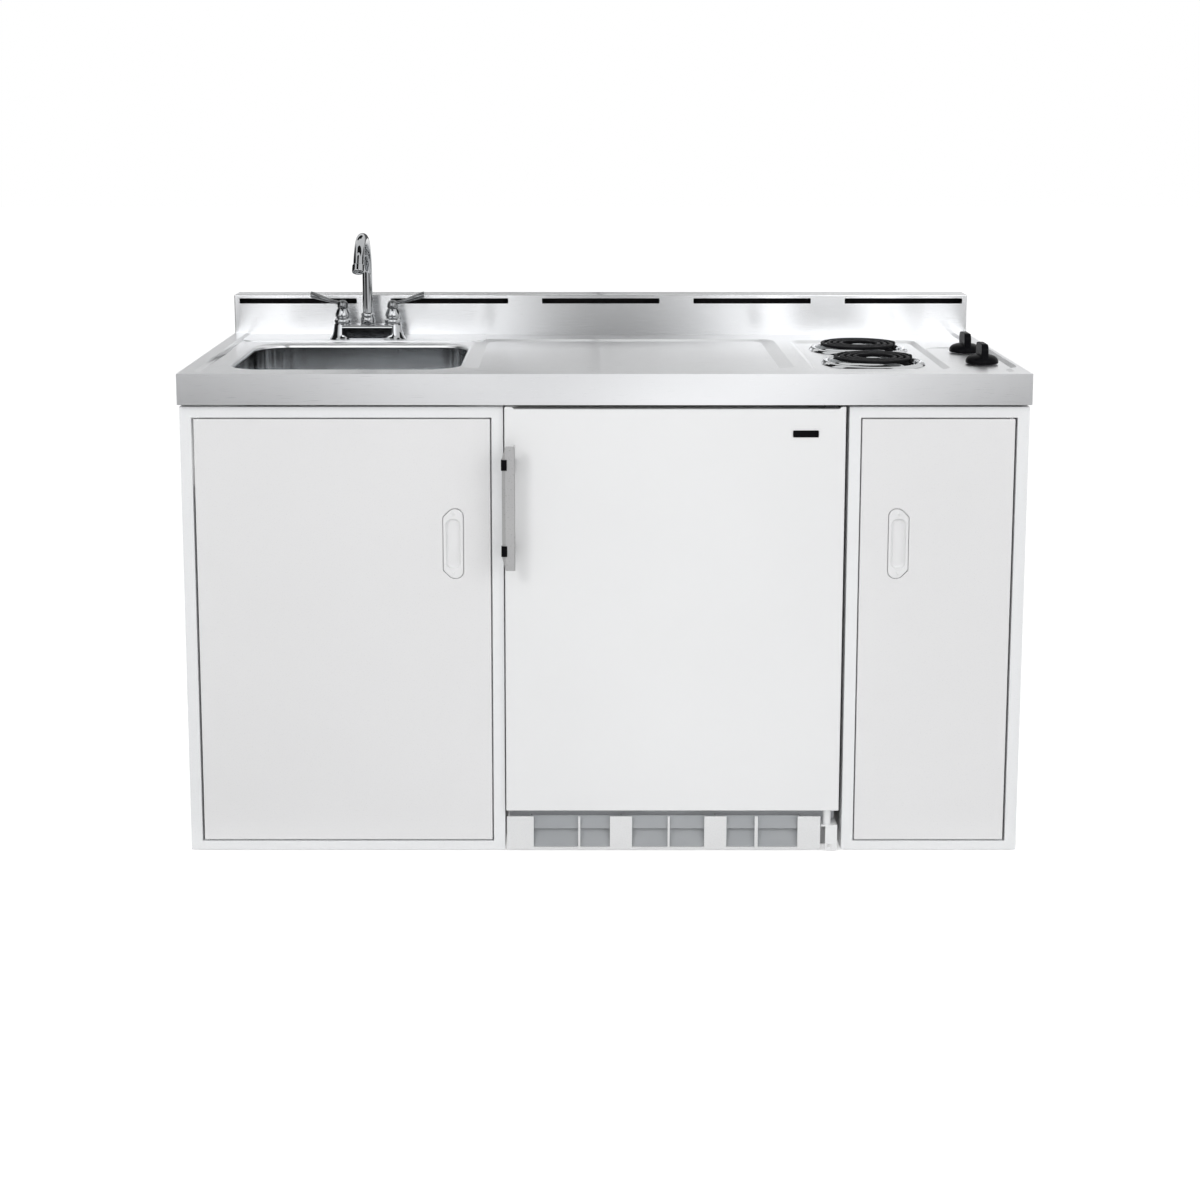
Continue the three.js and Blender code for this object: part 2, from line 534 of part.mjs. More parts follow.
// A bonnet screws down over each valve, and its stem turns with the lever.
const BONNET_FOOT = BRIDGE_TOP + 3 + GAP;
const BONNET_TOP = FIELD_TOP + 64;
function bonnet(side) {
  const x = TAP_X + side * VALVE_OFFSET;
  const shell = turned(x, TAP_DEPTH, [
    [0, BONNET_FOOT - 14], [8, BONNET_FOOT - 14], [8, BONNET_FOOT], [16.5, BONNET_FOOT],
    [17.2, BONNET_FOOT + 8], [15.5, BONNET_FOOT + 20], [12, BONNET_TOP - 2], [10, BONNET_TOP],
    [0, BONNET_TOP],
  ], 20);
  return cut(shell, round(x, TAP_DEPTH, BONNET_FOOT + 2, BONNET_TOP + 1, 4.3, 4.3, 12));
}
piece("hot_bonnet", bonnet(-1), "chrome");
piece("cold_bonnet", bonnet(1), "chrome");

// A wrist-blade lever that rises outwards from its hub.
function lever(side) {
  const x = TAP_X + side * VALVE_OFFSET;
  const hub = turned(x, TAP_DEPTH, [
    [0, BONNET_FOOT + 6], [4, BONNET_FOOT + 6], [4, BONNET_TOP + GAP], [10.5, BONNET_TOP + GAP],
    [11, BONNET_TOP + 8], [8, BONNET_TOP + 15], [0, BONNET_TOP + 17],
  ], 20);
  const blade = [
    { out: 2, z: BONNET_TOP + 10, wide: 11, thick: 9 },
    { out: 22, z: BONNET_TOP + 15, wide: 12, thick: 7 },
    { out: 42, z: BONNET_TOP + 23, wide: 19, thick: 8 },
    { out: 58, z: BONNET_TOP + 29, wide: 21, thick: 10 },
    { out: 63, z: BONNET_TOP + 31, wide: 15, thick: 7 },
  ];
  const rings = blade.map(({ out, z, wide, thick }) => Array.from({ length: 12 }, (_, i) => {
    const a = (side * 2 * Math.PI * i) / 12;
    return [x + side * out, yAt(TAP_DEPTH) + (wide / 2) * Math.cos(a), z + (thick / 2) * Math.sin(a)];
  }));
  return join(hub, throughRings(rings, false));
}
piece("hot_lever", lever(-1), "chrome");
piece("cold_lever", lever(1), "chrome");

// A gooseneck that turns in the bridge, with its aerator screwed into the end.
function spout() {
  const { tube: r, bend, bendZ, sweepDeg, end } = SPOUT;
  const riser = BRIDGE_TOP + 24;
  const points = [riser - 6, riser + 20, bendZ - 18].map((z) => [TAP_X, yAt(TAP_DEPTH), z]);
  const steps = 12;
  for (let i = 0; i <= steps; i += 1) {
    const a = THREE.MathUtils.degToRad((sweepDeg * i) / steps);
    points.push([TAP_X, yAt(TAP_DEPTH - bend) + bend * Math.cos(a), bendZ + bend * Math.sin(a)]);
  }
  const a = THREE.MathUtils.degToRad(sweepDeg);
  const [endY, endZ] = [points.at(-1)[1], points.at(-1)[2]];
  const [dirY, dirZ] = [-Math.sin(a), Math.cos(a)];
  points.push([TAP_X, endY + dirY * end, endZ + dirZ * end]);
  const neck = solid(tube(points, r, 28, 12));
  const nozzleGeometry = new THREE.CylinderGeometry(12.2, 12.2, 15, 20);
  nozzleGeometry.rotateX(Math.atan2(dirZ, dirY));
  nozzleGeometry.translate(TAP_X, endY + dirY * (end + 1), endZ + dirZ * (end + 1));
  const collar = turned(TAP_X, TAP_DEPTH, [
    [0, BRIDGE_TOP - 18], [7, BRIDGE_TOP - 18], [7, BRIDGE_TOP + GAP], [14.5, BRIDGE_TOP + GAP],
    [15, BRIDGE_TOP + 9], [13.8, BRIDGE_TOP + 20], [11.5, riser], [0, riser],
  ], 24);
  return join(neck, solid(nozzleGeometry), collar);
}
piece("spout", spout(), "chrome");

// ---------------------------------------------------------------- hob
// The route of one heating element: in from a terminal, round the spiral, and back out under the turns.
function coilRoute(depth) {
  const [cx, cy] = [BURNER_X, yAt(depth)];
  const { outer, pitch, z, firstDeg, lastDeg } = COIL;
  const points = [
    [TERMINAL_X, 8, TERMINAL_Z], [TERMINAL_X - 12, 8, TERMINAL_Z], [TERMINAL_X - 23, 8.5, TERMINAL_Z + 3],
    [TERMINAL_X - 31, 10, TERMINAL_Z + 15], [TERMINAL_X - 33.5, 12, z - 6],
  ];
  const turnStep = 15;
  for (let deg = firstDeg; deg < lastDeg + 1; deg += turnStep) {
    const a = THREE.MathUtils.degToRad(deg);
    const r = outer - (pitch * (deg - firstDeg)) / 360;
    points.push([r * Math.cos(a), r * Math.sin(a), z]);
  }
  points.push(
    [9, -25, z - 1.5], [19, -22, COIL_UNDER], [36, -14, COIL_UNDER - 0.5], [52, -10, COIL_UNDER - 1],
    [TERMINAL_X - 40, -8.5, COIL_UNDER - 5], [TERMINAL_X - 28, -8, TERMINAL_Z + 9],
    [TERMINAL_X - 20, -8, TERMINAL_Z + 1.5], [TERMINAL_X - 12, -8, TERMINAL_Z],
    [TERMINAL_X, -8, TERMINAL_Z],
  );
  return points.map(([px, py, pz]) => [cx + px, cy + py, pz]);
}

// The element on its three-armed support.
function coil(name, depth) {
  const route = coilRoute(depth);
  console.log(`${name}: least gap between runs ${leastGap(route, COIL.tube).toFixed(2)} mm`);
  const element = solid(tube(route, COIL.tube, 94, 6));
  const arms = [60, 180, 300].map((deg) => {
    const geometry = new THREE.BoxGeometry(72, 1.6, 9.2);
    geometry.translate(48, 0, COIL.z - COIL.tube - 3.6);
    geometry.rotateZ(THREE.MathUtils.degToRad(deg));
    geometry.translate(BURNER_X, yAt(depth), 0);
    return solid(geometry);
  });
  const medallion = turned(BURNER_X, depth, [
    [0, COIL.z - 9], [15, COIL.z - 9], [15, COIL.z - 3], [13, COIL.z - 1], [0, COIL.z - 1],
  ], 20);
  return join(element, ...arms, medallion);
}

// A chromed drip pan with a rolled rim, a hole in its floor and a notch for the element's legs.
function dripPan(depth) {
  const base = HOB_TOP + GAP;
  const shell = turned(BURNER_X, depth, [
    [14, base - 30], [60, base - 28], [79, base - 15], [84.5, base + 1.5], [90.5, base + 4.6],
    [94, base], [97, base + 0.6], [91, base + 6.6], [84, base + 4.2], [77.5, base - 13.5],
    [59.5, base - 26.5], [14, base - 28.5], [14, base - 30],
  ], 32);
  const y = yAt(depth);
  const notch = new THREE.BoxGeometry(26, 30, 25);
  notch.translate(BURNER_X + 79, y, TERMINAL_Z + 3.4);
  return cut(shell, solid(notch));
}

// A ceramic block that the element's two legs plug into.
function terminalBlock(depth) {
  const x0 = BURNER_X + TERMINAL_X - 6;
  const block = box(x0, x0 + 32, depth - 18, depth + 18, TERMINAL_Z - 10, TERMINAL_Z + 10);
  const mouths = [-8, 8].map((off) => box(x0 - 1, x0 + 14, depth + off - 5, depth + off + 5,
    TERMINAL_Z - 7, TERMINAL_Z + 6));
  return cut(block, ...mouths);
}

// A skirted knob with a tall finger bar, and a blind hole for the switch's shaft.
function knob(depth) {
  const skirt = turned(KNOB_X, depth, [
    [0, KNOB_Z], [29.5, KNOB_Z], [30, KNOB_Z + 4], [28, KNOB_Z + 10], [20, KNOB_Z + 15], [0, KNOB_Z + 17],
  ], 36);
  const bar = new THREE.Shape();
  const [half, top, shoulder, thick] = [27, 38, 12, 13];
  bar.moveTo(-half, 2);
  bar.lineTo(half, 2);
  bar.lineTo(half, shoulder);
  bar.quadraticCurveTo(half - 3, top, half - 14, top);
  bar.lineTo(14 - half, top);
  bar.quadraticCurveTo(3 - half, top, -half, shoulder);
  const grip = new THREE.ExtrudeGeometry(bar, { depth: thick, bevelEnabled: false, curveSegments: 5 });
  grip.translate(0, 0, -thick / 2);
  grip.applyMatrix4(new THREE.Matrix4().set(
    0, 0, 1, KNOB_X, 1, 0, 0, yAt(depth), 0, 1, 0, KNOB_Z, 0, 0, 0, 1));
  return cut(join(skirt, solid(grip)), round(KNOB_X, depth, KNOB_Z - 5, KNOB_Z + 13, 3.3, 3.3, 12));
}

// A rotary energy regulator hung under the worktop, its shaft up through it into the knob.
function energySwitch(depth) {
  const top = FIELD_TOP - TOP_SHEET - GAP;
  return join(
    box(KNOB_X - 20, KNOB_X + 20, depth - 17, depth + 17, top - 28, top),
    round(KNOB_X, depth, top - 1, KNOB_Z + 12, 3, 3, 12),
  );
}

// The pressed tray that closes the hob from below.
const TRAY = { x0: 372, x1: 748, d0: 74, d1: 508, z0: UNDER_TOP + 5 };
const TRAY_TOP = HOB_TOP - TOP_SHEET - GAP;
piece("burner_box", cut(
  box(TRAY.x0, TRAY.x1, TRAY.d0, TRAY.d1, TRAY.z0, TRAY_TOP),
  box(TRAY.x0 + SHEET, TRAY.x1 - SHEET, TRAY.d0 + SHEET, TRAY.d1 - SHEET, TRAY.z0 + SHEET, TRAY_TOP + 1),
), "galvanised");

for (const place of ["front", "rear"]) {
  piece(`${place}_coil`, coil(`${place}_coil`, BURNER_DEPTHS[place]), "blackMetal");
  piece(`${place}_drip_pan`, dripPan(BURNER_DEPTHS[place]), "chrome");
  piece(`${place}_terminal_block`, terminalBlock(BURNER_DEPTHS[place]), "ceramic");
  piece(`${place}_knob`, knob(KNOB_DEPTHS[place]), "blackPlastic");
  piece(`${place}_switch`, energySwitch(KNOB_DEPTHS[place]), "whitePlastic");
}

// ---------------------------------------------------------------- refrigerator
// The side profile of its body, with a step at the bottom back over the compressor.
const stepped = (front, back, bottom, top, stepDepth, stepZ) => [
  [front, bottom], [stepDepth, bottom], [stepDepth, stepZ], [back, stepZ], [back, top], [front, top],
];

function fridgeWrapper() {
  const { x0, x1, front, back, bottom, top, notchDepth, notchZ } = FRIDGE;
  const outer = prism(stepped(front, back, bottom, top, notchDepth, notchZ), x0, x1);
  const inner = prism(
    stepped(front - 5, back - SHEET, bottom + SHEET, top - SHEET, notchDepth - SHEET, notchZ + SHEET),
    x0 + SHEET, x1 - SHEET);
  return cut(outer, inner);
}
piece("fridge_wrapper", fridgeWrapper(), "enamel");

// The moulded liner: a flange round the front, the stepped tub, and ribs that carry the shelves.
const SHELF_LEVELS = { upper: 545, lower: 318 };
function fridgeLiner() {
  const { x0, x1, back, bottom, top, stepDepth, stepZ } = CAVITY;
  const t = LINER_WALL;
  const front = FRIDGE.front;
  const flange = box(FRIDGE.x0 + SHEET + GAP, FRIDGE.x1 - SHEET - GAP, front, front + t,
    FRIDGE.bottom + SHEET + GAP, FRIDGE.top - SHEET - GAP);
  const tub = prism(stepped(front, back + t, bottom - t, top + t, stepDepth + t, stepZ - t), x0 - t, x1 + t);
  const space = prism(stepped(front - 5, back, bottom, top, stepDepth, stepZ), x0, x1);
  const ribs = Object.values(SHELF_LEVELS).flatMap((z) => [[x0 - 0.5, x0 + 9], [x1 - 9, x1 + 0.5]]
    .map(([a, b]) => box(a, b, 150, 540, z - 6, z)));
  return join(cut(join(flange, tub), space), ...ribs);
}
piece("fridge_liner", fridgeLiner(), "whitePlastic");

// A chassis tray: two rails on the floor, a deck that carries the compressor, and a front cross rail.
piece("fridge_base", join(
  box(FRIDGE.x0, FRIDGE.x0 + 1.6, BASE_FRONT, FRIDGE.back, 0, FRIDGE.bottom - GAP),
  box(FRIDGE.x1 - 1.6, FRIDGE.x1, BASE_FRONT, FRIDGE.back, 0, FRIDGE.bottom - GAP),
  box(FRIDGE.x0, FRIDGE.x1, BASE_FRONT, FRIDGE.back, 14, 15.6),
  box(FRIDGE.x0, FRIDGE.x1, BASE_FRONT, BASE_FRONT + 1.6, 14, FRIDGE.bottom - GAP),
), "blackMetal");

// A hermetic compressor: a domed steel can on the deck.
piece("compressor", turned(250, 520, [
  [0, 16], [62, 16], [62, 22], [68, 60], [70, 95], [68, 120], [58, 146], [36, 162], [0, 168],
], 24), "blackMetal");

// The condenser: one tube folded up the back of the refrigerator.
function condenser() {
  const [left, right] = [-120, 370];
  const [low, high, runs] = [260, 790, 7];
  const bend = (high - low) / (runs - 1) / 2;
  const y = yAt(FRIDGE.back + 14);
  const points = [];
  for (let k = 0; k < runs; k += 1) {
    const z = low + 2 * bend * k;
    const [from, to] = k % 2 ? [right, left] : [left, right];
    points.push([from, y, z], [(from + to) / 2, y, z], [to, y, z]);
    const out = Math.sign(to - from);
    if (k < runs - 1) {
      points.push([to + out * bend * 0.72, y, z + bend * 0.3], [to + out * bend, y, z + bend],
        [to + out * bend * 0.72, y, z + bend * 1.7]);
    }
  }
  const straps = [-60, 310].map((x) => box(
    x - 4, x + 4, FRIDGE.back + GAP, FRIDGE.back + 13, low - 4, high + 4));
  return join(solid(tube(points, 2.6, 92, 5)), ...straps);
}
piece("condenser", condenser(), "blackMetal");

// Door: a folded pan in front, closed by a moulded liner with two side walls that carry the racks.
function fridgeDoor() {
  const { x0, x1, front, back, bottom, top } = FDOOR;
  const pan = cut(
    box(x0, x1, front, back, bottom, top),
    box(x0 + SHEET, x1 - SHEET, front + SHEET, back + 5, bottom + SHEET, top - SHEET),
  );
  const lipHigh = 4;
  const corners = [[x0, x0 + 18], [x1 - 9, x1]].map(([a, b]) => box(
    a, b, front, front + 3, top - 1, top + lipHigh));
  const hole = (z) => round(FRIDGE_PIVOT.x, FRIDGE_PIVOT.d, z - 5, z + 5, 4.3, 4.3, 16);
  return cut(join(pan, ...corners), hole(bottom), hole(top));
}
piece("fridge_door", fridgeDoor(), "enamel");

const DYKE = { x0: -128, x1: 381, z0: 128, z1: 776, deep: 104, wall: 11 };
function doorLiner() {
  const { x0, x1, back, bottom, top } = FDOOR;
  const d0 = back + GAP;
  const plate = box(x0 + 3, x1 - 3, d0, d0 + LINER_WALL, bottom + 3, top - 3);
  const ring = cut(
    box(DYKE.x0, DYKE.x1, d0, DYKE.deep, DYKE.z0, DYKE.z1),
    box(DYKE.x0 + DYKE.wall, DYKE.x1 - DYKE.wall, d0 - 1, DYKE.deep + 1,
      DYKE.z0 + DYKE.wall, DYKE.z1 - DYKE.wall),
  );
  const hollowWall = cut(
    box(DYKE.x0 + 2, DYKE.x1 - 2, d0 - 2, DYKE.deep - 2, DYKE.z0 + 2, DYKE.z1 - 2),
    box(DYKE.x0 + DYKE.wall - 2, DYKE.x1 - DYKE.wall + 2, d0 - 3, DYKE.deep, DYKE.z0 + DYKE.wall - 2,
      DYKE.z1 - DYKE.wall + 2),
  );
  return cut(join(plate, ring), hollowWall);
}
piece("fridge_door_liner", doorLiner(), "whitePlastic");

const GASKET = { x0: -152, x1: 405, z0: 104, z1: 800, wide: 13 };
piece("door_gasket", cut(
  box(GASKET.x0, GASKET.x1, FDOOR.back + 2 * GAP + LINER_WALL, FRIDGE.front - 0.5, GASKET.z0, GASKET.z1),
  box(GASKET.x0 + GASKET.wide, GASKET.x1 - GASKET.wide, 40, 80,
    GASKET.z0 + GASKET.wide, GASKET.z1 - GASKET.wide),
), "rubber");

// Racks: open trays between the liner's side walls.
function rack(z, high) {
  const [x0, x1] = [DYKE.x0 + DYKE.wall + GAP, DYKE.x1 - DYKE.wall - GAP];
  const [d0, d1] = [FDOOR.back + GAP + LINER_WALL + GAP, 142];
  return cut(box(x0, x1, d0, d1, z, z + high), box(x0 + 2, x1 - 2, d0 + 2, d1 - 2, z + 2, z + high + 1));
}
piece("upper_door_rack", rack(520, 60), "clearPlastic");
piece("lower_door_rack", rack(190, 90), "clearPlastic");

// Handle: an angle-section grip held off the door by two clips.
const GRIP_FRONT = 1 - HANDLE_PROUD;
piece("handle_bar", join(
  box(HANDLE.x0, HANDLE.x1, GRIP_FRONT, GRIP_FRONT + 3, HANDLE.z0, HANDLE.z1),
  box(HANDLE.x1 - 3, HANDLE.x1, GRIP_FRONT, GRIP_FRONT + 14, HANDLE.z0, HANDLE.z1),
), "greyPaint");
["lower", "upper"].forEach((name, i) => {
  const [z0, z1] = [BRACKET_Z[i] - 9, BRACKET_Z[i] + 9];
  const clip = join(
    box(-183, HANDLE.x0 - GAP, -HANDLE_PROUD, FDOOR.front - GAP, z0, z1),
    box(-183, HANDLE.x0 + 2.7, -HANDLE_PROUD, GRIP_FRONT - GAP, z0, z1),
    box(-183, HANDLE.x1 - 3 - GAP, GRIP_FRONT + 3 + GAP, FDOOR.front - GAP, z0, z1),
  );
  piece(`handle_bracket_${name}`, clip, "blackPlastic");
});

// Hinges: a plate screwed on top of the body and a bracket at the foot, each with a pin in the door.
piece("upper_hinge", join(
  box(396, 417, FRIDGE_PIVOT.d - 6, 130, FDOOR.top + 0.6, FDOOR.top + 3.6),
  box(396, 417, 66, 130, FRIDGE.top + GAP, FDOOR.top + 1),
  round(FRIDGE_PIVOT.x, FRIDGE_PIVOT.d, FDOOR.top - 14, FDOOR.top + 2, 4, 4, 16),
), "galvanised");
const BRACKET = { x0: 408.5, x1: 430.5, low: 2, high: 50 };
piece("lower_hinge", join(
  cut(box(BRACKET.x0, BRACKET.x1, 10, 12.4, BRACKET.low, BRACKET.high),
    box(BRACKET.x0 + 4, BRACKET.x0 + 11, 9, 14, 8, 13)),
  box(BRACKET.x1 - 2.4, BRACKET.x1 - GAP, 11, 43.5, BRACKET.low, BRACKET.high),
  box(BRACKET.x0 - 8, BRACKET.x1, 10, 43.5, BRACKET.high - 2.4, BRACKET.high),
  box(BRACKET.x0 - 8, BRACKET.x1, 41, 43.6, BRACKET.low, BRACKET.high),
  round(FRIDGE_PIVOT.x, FRIDGE_PIVOT.d, BRACKET.high - 1, FDOOR.bottom - 3, 7.5, 7.5, 20),
  round(FRIDGE_PIVOT.x, FRIDGE_PIVOT.d, FDOOR.bottom - 4, FDOOR.bottom + 14, 4, 4, 16),
), "enamel");

// Kickplate: one moulding with three pairs of windows, open at its top, on two posts in front of the base.
const KICK_BACK = KICK.d + KICK.thick;
const [LOUVRE_X0, LOUVRE_X1] = [KICK_WINDOWS[0][0] - 6, KICK_WINDOWS.at(-1)[1] + 6];
function kickplate() {
  const { x0, x1, z0, z1, d } = KICK;
  const windows = KICK_WINDOWS.map(([a, b]) => box(a, b, d - 1, KICK_BACK + 1, 7, z1 + 1));
  const posts = [LOUVRE_X0 - 8, LOUVRE_X1 + 8].map((x) => box(
    x - 2, x + 2, KICK_BACK - 0.6, BASE_FRONT - GAP, 7, z1 - 20));
  return join(cut(box(x0, x1, d, KICK_BACK, z0, z1), ...windows), ...posts);
}
piece("kickplate", kickplate(), "whitePlastic");

// Two steep slats stand behind the windows, one over the other, on four ribs.
function kickLouvres() {
  const front = KICK_BACK + GAP;
  const thick = 2.1;
  const slats = KICK_SLATS.map(({ low, high, back }) => prism([
    [front, low], [front + thick, low], [front + back + thick, high], [front + back, high],
  ], LOUVRE_X0, LOUVRE_X1));
  const ribs = [LOUVRE_X0, 30.5, 204.5, LOUVRE_X1 - 3].map((x) => box(
    x, x + 3, front, front + 13.5, KICK_SLATS[0].low, KICK_SLATS[1].high));
  return join(...slats, ...ribs);
}
piece("kick_louvres", kickLouvres(), "greyPlastic");

// Inside: two glass shelves, a crisper drawer and the thermostat.
const shelf = (z) => box(CAVITY.x0 + 1, CAVITY.x1 - 1, 160, 545, z + GAP, z + GAP + 5);
piece("upper_shelf", shelf(SHELF_LEVELS.upper), "glass");
piece("lower_shelf", shelf(SHELF_LEVELS.lower), "glass");
const CRISPER_WALL = 2.5;
const [crisperX0, crisperX1] = [CAVITY.x0 + 10, CAVITY.x1 - 10];
const [crisperFront, crisperBack] = [152, CAVITY.stepDepth - 4];
piece("crisper", cut(
  box(crisperX0, crisperX1, crisperFront, crisperBack, CAVITY.bottom + GAP, SHELF_LEVELS.lower - 8),
  box(crisperX0 + CRISPER_WALL, crisperX1 - CRISPER_WALL, crisperFront + CRISPER_WALL,
    crisperBack - CRISPER_WALL, CAVITY.bottom + 3, SHELF_LEVELS.lower),
), "clearPlastic");
const THERMOSTAT = { x0: 342, d0: 240, d1: 350, z0: 690, z1: 772 };
const DIAL = { d: 295, z: 731, foot: THERMOSTAT.x0 - GAP };
piece("thermostat_box", box(THERMOSTAT.x0, CAVITY.x1 - GAP, THERMOSTAT.d0, THERMOSTAT.d1,
  THERMOSTAT.z0, THERMOSTAT.z1), "whitePlastic");
function thermostatDial() {
  const profile = [[0, 0], [19, 0], [19, 9], [16, 14], [0, 14]].map(([r, z]) => new THREE.Vector2(r, z));
  const geometry = new THREE.LatheGeometry(profile, 24);
  geometry.rotateZ(Math.PI / 2);
  geometry.translate(DIAL.foot, yAt(DIAL.d), DIAL.z);
  const ridge = box(DIAL.foot - 18, DIAL.foot - 10, DIAL.d - 2, DIAL.d + 2, DIAL.z - 15, DIAL.z + 15);
  return join(solid(geometry), ridge);
}
piece("thermostat_dial", thermostatDial(), "whitePlastic");

export default group;
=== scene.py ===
"""A steel kitchenette: pressed sink and drainer, mixer tap, two-element hob, refrigerator, cupboards.

Metres, +Z up, doors to -Y. A depth is measured backwards from the front face of the worktop.
"""
import json
import math

import bmesh
import bpy
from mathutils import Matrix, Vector


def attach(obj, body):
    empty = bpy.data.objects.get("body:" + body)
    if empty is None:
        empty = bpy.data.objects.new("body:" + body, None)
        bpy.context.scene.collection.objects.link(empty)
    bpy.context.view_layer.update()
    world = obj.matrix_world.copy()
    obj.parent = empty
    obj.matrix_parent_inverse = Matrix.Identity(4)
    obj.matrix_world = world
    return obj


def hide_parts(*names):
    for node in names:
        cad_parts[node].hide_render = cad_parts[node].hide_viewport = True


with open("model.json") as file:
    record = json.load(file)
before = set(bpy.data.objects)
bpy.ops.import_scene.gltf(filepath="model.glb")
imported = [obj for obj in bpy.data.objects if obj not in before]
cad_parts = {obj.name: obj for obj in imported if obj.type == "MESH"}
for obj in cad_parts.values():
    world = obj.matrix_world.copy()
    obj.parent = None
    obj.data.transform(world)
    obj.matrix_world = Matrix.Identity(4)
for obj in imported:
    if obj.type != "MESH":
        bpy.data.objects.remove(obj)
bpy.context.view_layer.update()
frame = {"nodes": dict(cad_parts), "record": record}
scene = bpy.context.scene
scene.view_settings.view_transform = "Standard"

MM = 0.001
FRONT = -0.310  # the front face of the worktop
FRONT_MM = FRONT / MM
IMAGE_SIZE = 1200

# ---------------- camera
FOCAL_PIXELS = 1905
TILT_DOWN = 7.92
SENSOR = 36
CAMERA_PLACE = (-0.047, -3.659, 1.383)
LENS_SHIFT = (0.0182, -0.2)
bpy.ops.object.camera_add(location=CAMERA_PLACE, rotation=(math.radians(90 - TILT_DOWN), 0, 0))
camera = bpy.context.object
camera.name = "photographers_camera"
camera.data.sensor_width = SENSOR
camera.data.lens = SENSOR * FOCAL_PIXELS / IMAGE_SIZE
camera.data.shift_x, camera.data.shift_y = LENS_SHIFT
scene.camera = camera

# ---------------- finishes
COAT_ROUGHNESS = 0.08
SLOW_WAVES = (2.6, 4.2, 5.0)  # how often a sheet sways along each axis, per metre


def wire(tree, kind, feeds, **settings):
    """Adds a node and feeds its sockets with numbers, colours or the outputs of other nodes."""
    node = tree.nodes.new(f"ShaderNode{kind}")
    for setting, value in settings.items():
        setattr(node, setting, value)
    for socket, value in feeds.items():
        if isinstance(value, bpy.types.NodeSocket):
            tree.links.new(value, node.inputs[socket])
        else:
            node.inputs[socket].default_value = value
    return node


def blank(holder):
    """Empties the tree of a material or a world, and returns it."""
    holder.use_nodes = True
    holder.node_tree.nodes.clear()
    return holder.node_tree


def place_in(tree):
    """The place on the piece, in metres."""
    return wire(tree, "TexCoord", {}).outputs["Object"]


def texture(tree, scale, detail=3.0, spangle=False):
    """A noise, or the flat crystals of zinc. The scale is in features per metre, for all axes or each."""
    steps = scale if isinstance(scale, tuple) else (scale, scale, scale)
    mapping = wire(tree, "Mapping", {"Vector": place_in(tree), "Scale": steps})
    feeds = {"Vector": mapping.outputs[0], "Scale": 1}
    if spangle:
        return wire(tree, "TexVoronoi", feeds).outputs["Color"]
    return wire(tree, "TexNoise", {**feeds, "Detail": detail}).outputs[0]


def ramp(tree, value, low, high, start=0.3, end=0.7):
    return wire(tree, "MapRange", {"Value": value, "From Min": start, "From Max": end, "To Min": low,
                                   "To Max": high}).outputs[0]


def relief(tree, height, strength, distance, below):
    """A bump, on top of those below it."""
    return {"Normal": wire(tree, "Bump", {"Height": height, "Strength": strength, "Distance": distance,
                                          **below}).outputs[0]}


def finish(name, pale, dark, metal, rough, tone_scale, grain_scale, bump=0.0, depth=0.0001, waviness=0.0,
           coat=0.0, through=0.0, alpha=1.0, index=1.5, spangle=False, brushed=0.0):
    """A surface with a broad change of tone, a grain in its gloss, a fine relief and a slow waviness."""
    made = bpy.data.materials.new(name)
    tree = blank(made)
    grain = texture(tree, grain_scale)
    tone = wire(tree, "Mix", {0: ramp(tree, texture(tree, tone_scale, 2.0, spangle), 0, 1), 6: (*dark, 1),
                              7: (*pale, 1)}, data_type="RGBA")
    feeds = {"Base Color": tone.outputs[2], "Roughness": ramp(tree, grain, *rough), "Metallic": metal,
             "IOR": index, "Coat Weight": coat, "Coat Roughness": COAT_ROUGHNESS,
             "Transmission Weight": through, "Alpha": alpha, "Anisotropic": brushed}
    if brushed:
        # the brushing runs along X, so the gloss spreads across it, up a wall and back over a flat
        feeds["Tangent"] = wire(tree, "CombineXYZ", {"Y": 1, "Z": 1}).outputs[0]
    normal = {}
    if bump:
        normal = relief(tree, grain, bump, depth, normal)
    if waviness:
        normal = relief(tree, texture(tree, SLOW_WAVES, 1.0), 1.0, waviness, normal)
    shader = wire(tree, "BsdfPrincipled", {**feeds, **normal})
    wire(tree, "OutputMaterial", {"Surface": shader.outputs[0]})
    return made


BRUSHING = {"pale": (0.85, 0.858, 0.865), "dark": (0.83, 0.838, 0.847), "metal": 1, "tone_scale": (3, 9, 9),
            "grain_scale": (20, 2600, 2600), "depth": 0.00002}
PLATING = {"metal": 1, "tone_scale": 14, "grain_scale": 60, "bump": 0.015, "depth": 0.00005}
ENAMEL = {"metal": 0, "tone_scale": 2, "bump": 0.05}
BRUSHED = finish("brushed_stainless", rough=(0.27, 0.33), bump=0.06, waviness=0.00004, brushed=0.85,
                 **BRUSHING)
UPSTAND_STEEL = finish("upstand_stainless", rough=(0.24, 0.28), bump=0.05, waviness=0.00003, brushed=0.9,
                       **BRUSHING)
BOWL_STEEL = finish("bowl_stainless", (0.77, 0.78, 0.79), (0.73, 0.74, 0.75), 1, (0.06, 0.11), (4, 6, 6),
                    (30, 1800, 1800), bump=0.03, depth=0.00002, waviness=0.0003)
CHROME = finish("polished_chrome", (0.57, 0.58, 0.59), (0.52, 0.53, 0.54), rough=(0.03, 0.07), **PLATING)
# chrome made darker than the drip pans' chrome: partly the real chrome, partly painted shade for the dark
# that the tap mirrors
TAP_CHROME_SHADED = finish("tap_chrome_painted_shade", (0.46, 0.47, 0.48), (0.42, 0.43, 0.44), rough=(0.03, 0.07), **PLATING)
# chrome made far darker than real chrome: painted shade for the dark that the levers mirror
LEVER_CHROME_PAINTED_DARK = finish("lever_chrome_painted_shade", (0.22, 0.225, 0.23), (0.19, 0.195, 0.20), rough=(0.04, 0.09),
                      **PLATING)
CABINET_ENAMEL = finish("cabinet_enamel", (0.82, 0.82, 0.825), (0.80, 0.80, 0.805), rough=(0.26, 0.34),
                        grain_scale=420, coat=0.15, **ENAMEL)
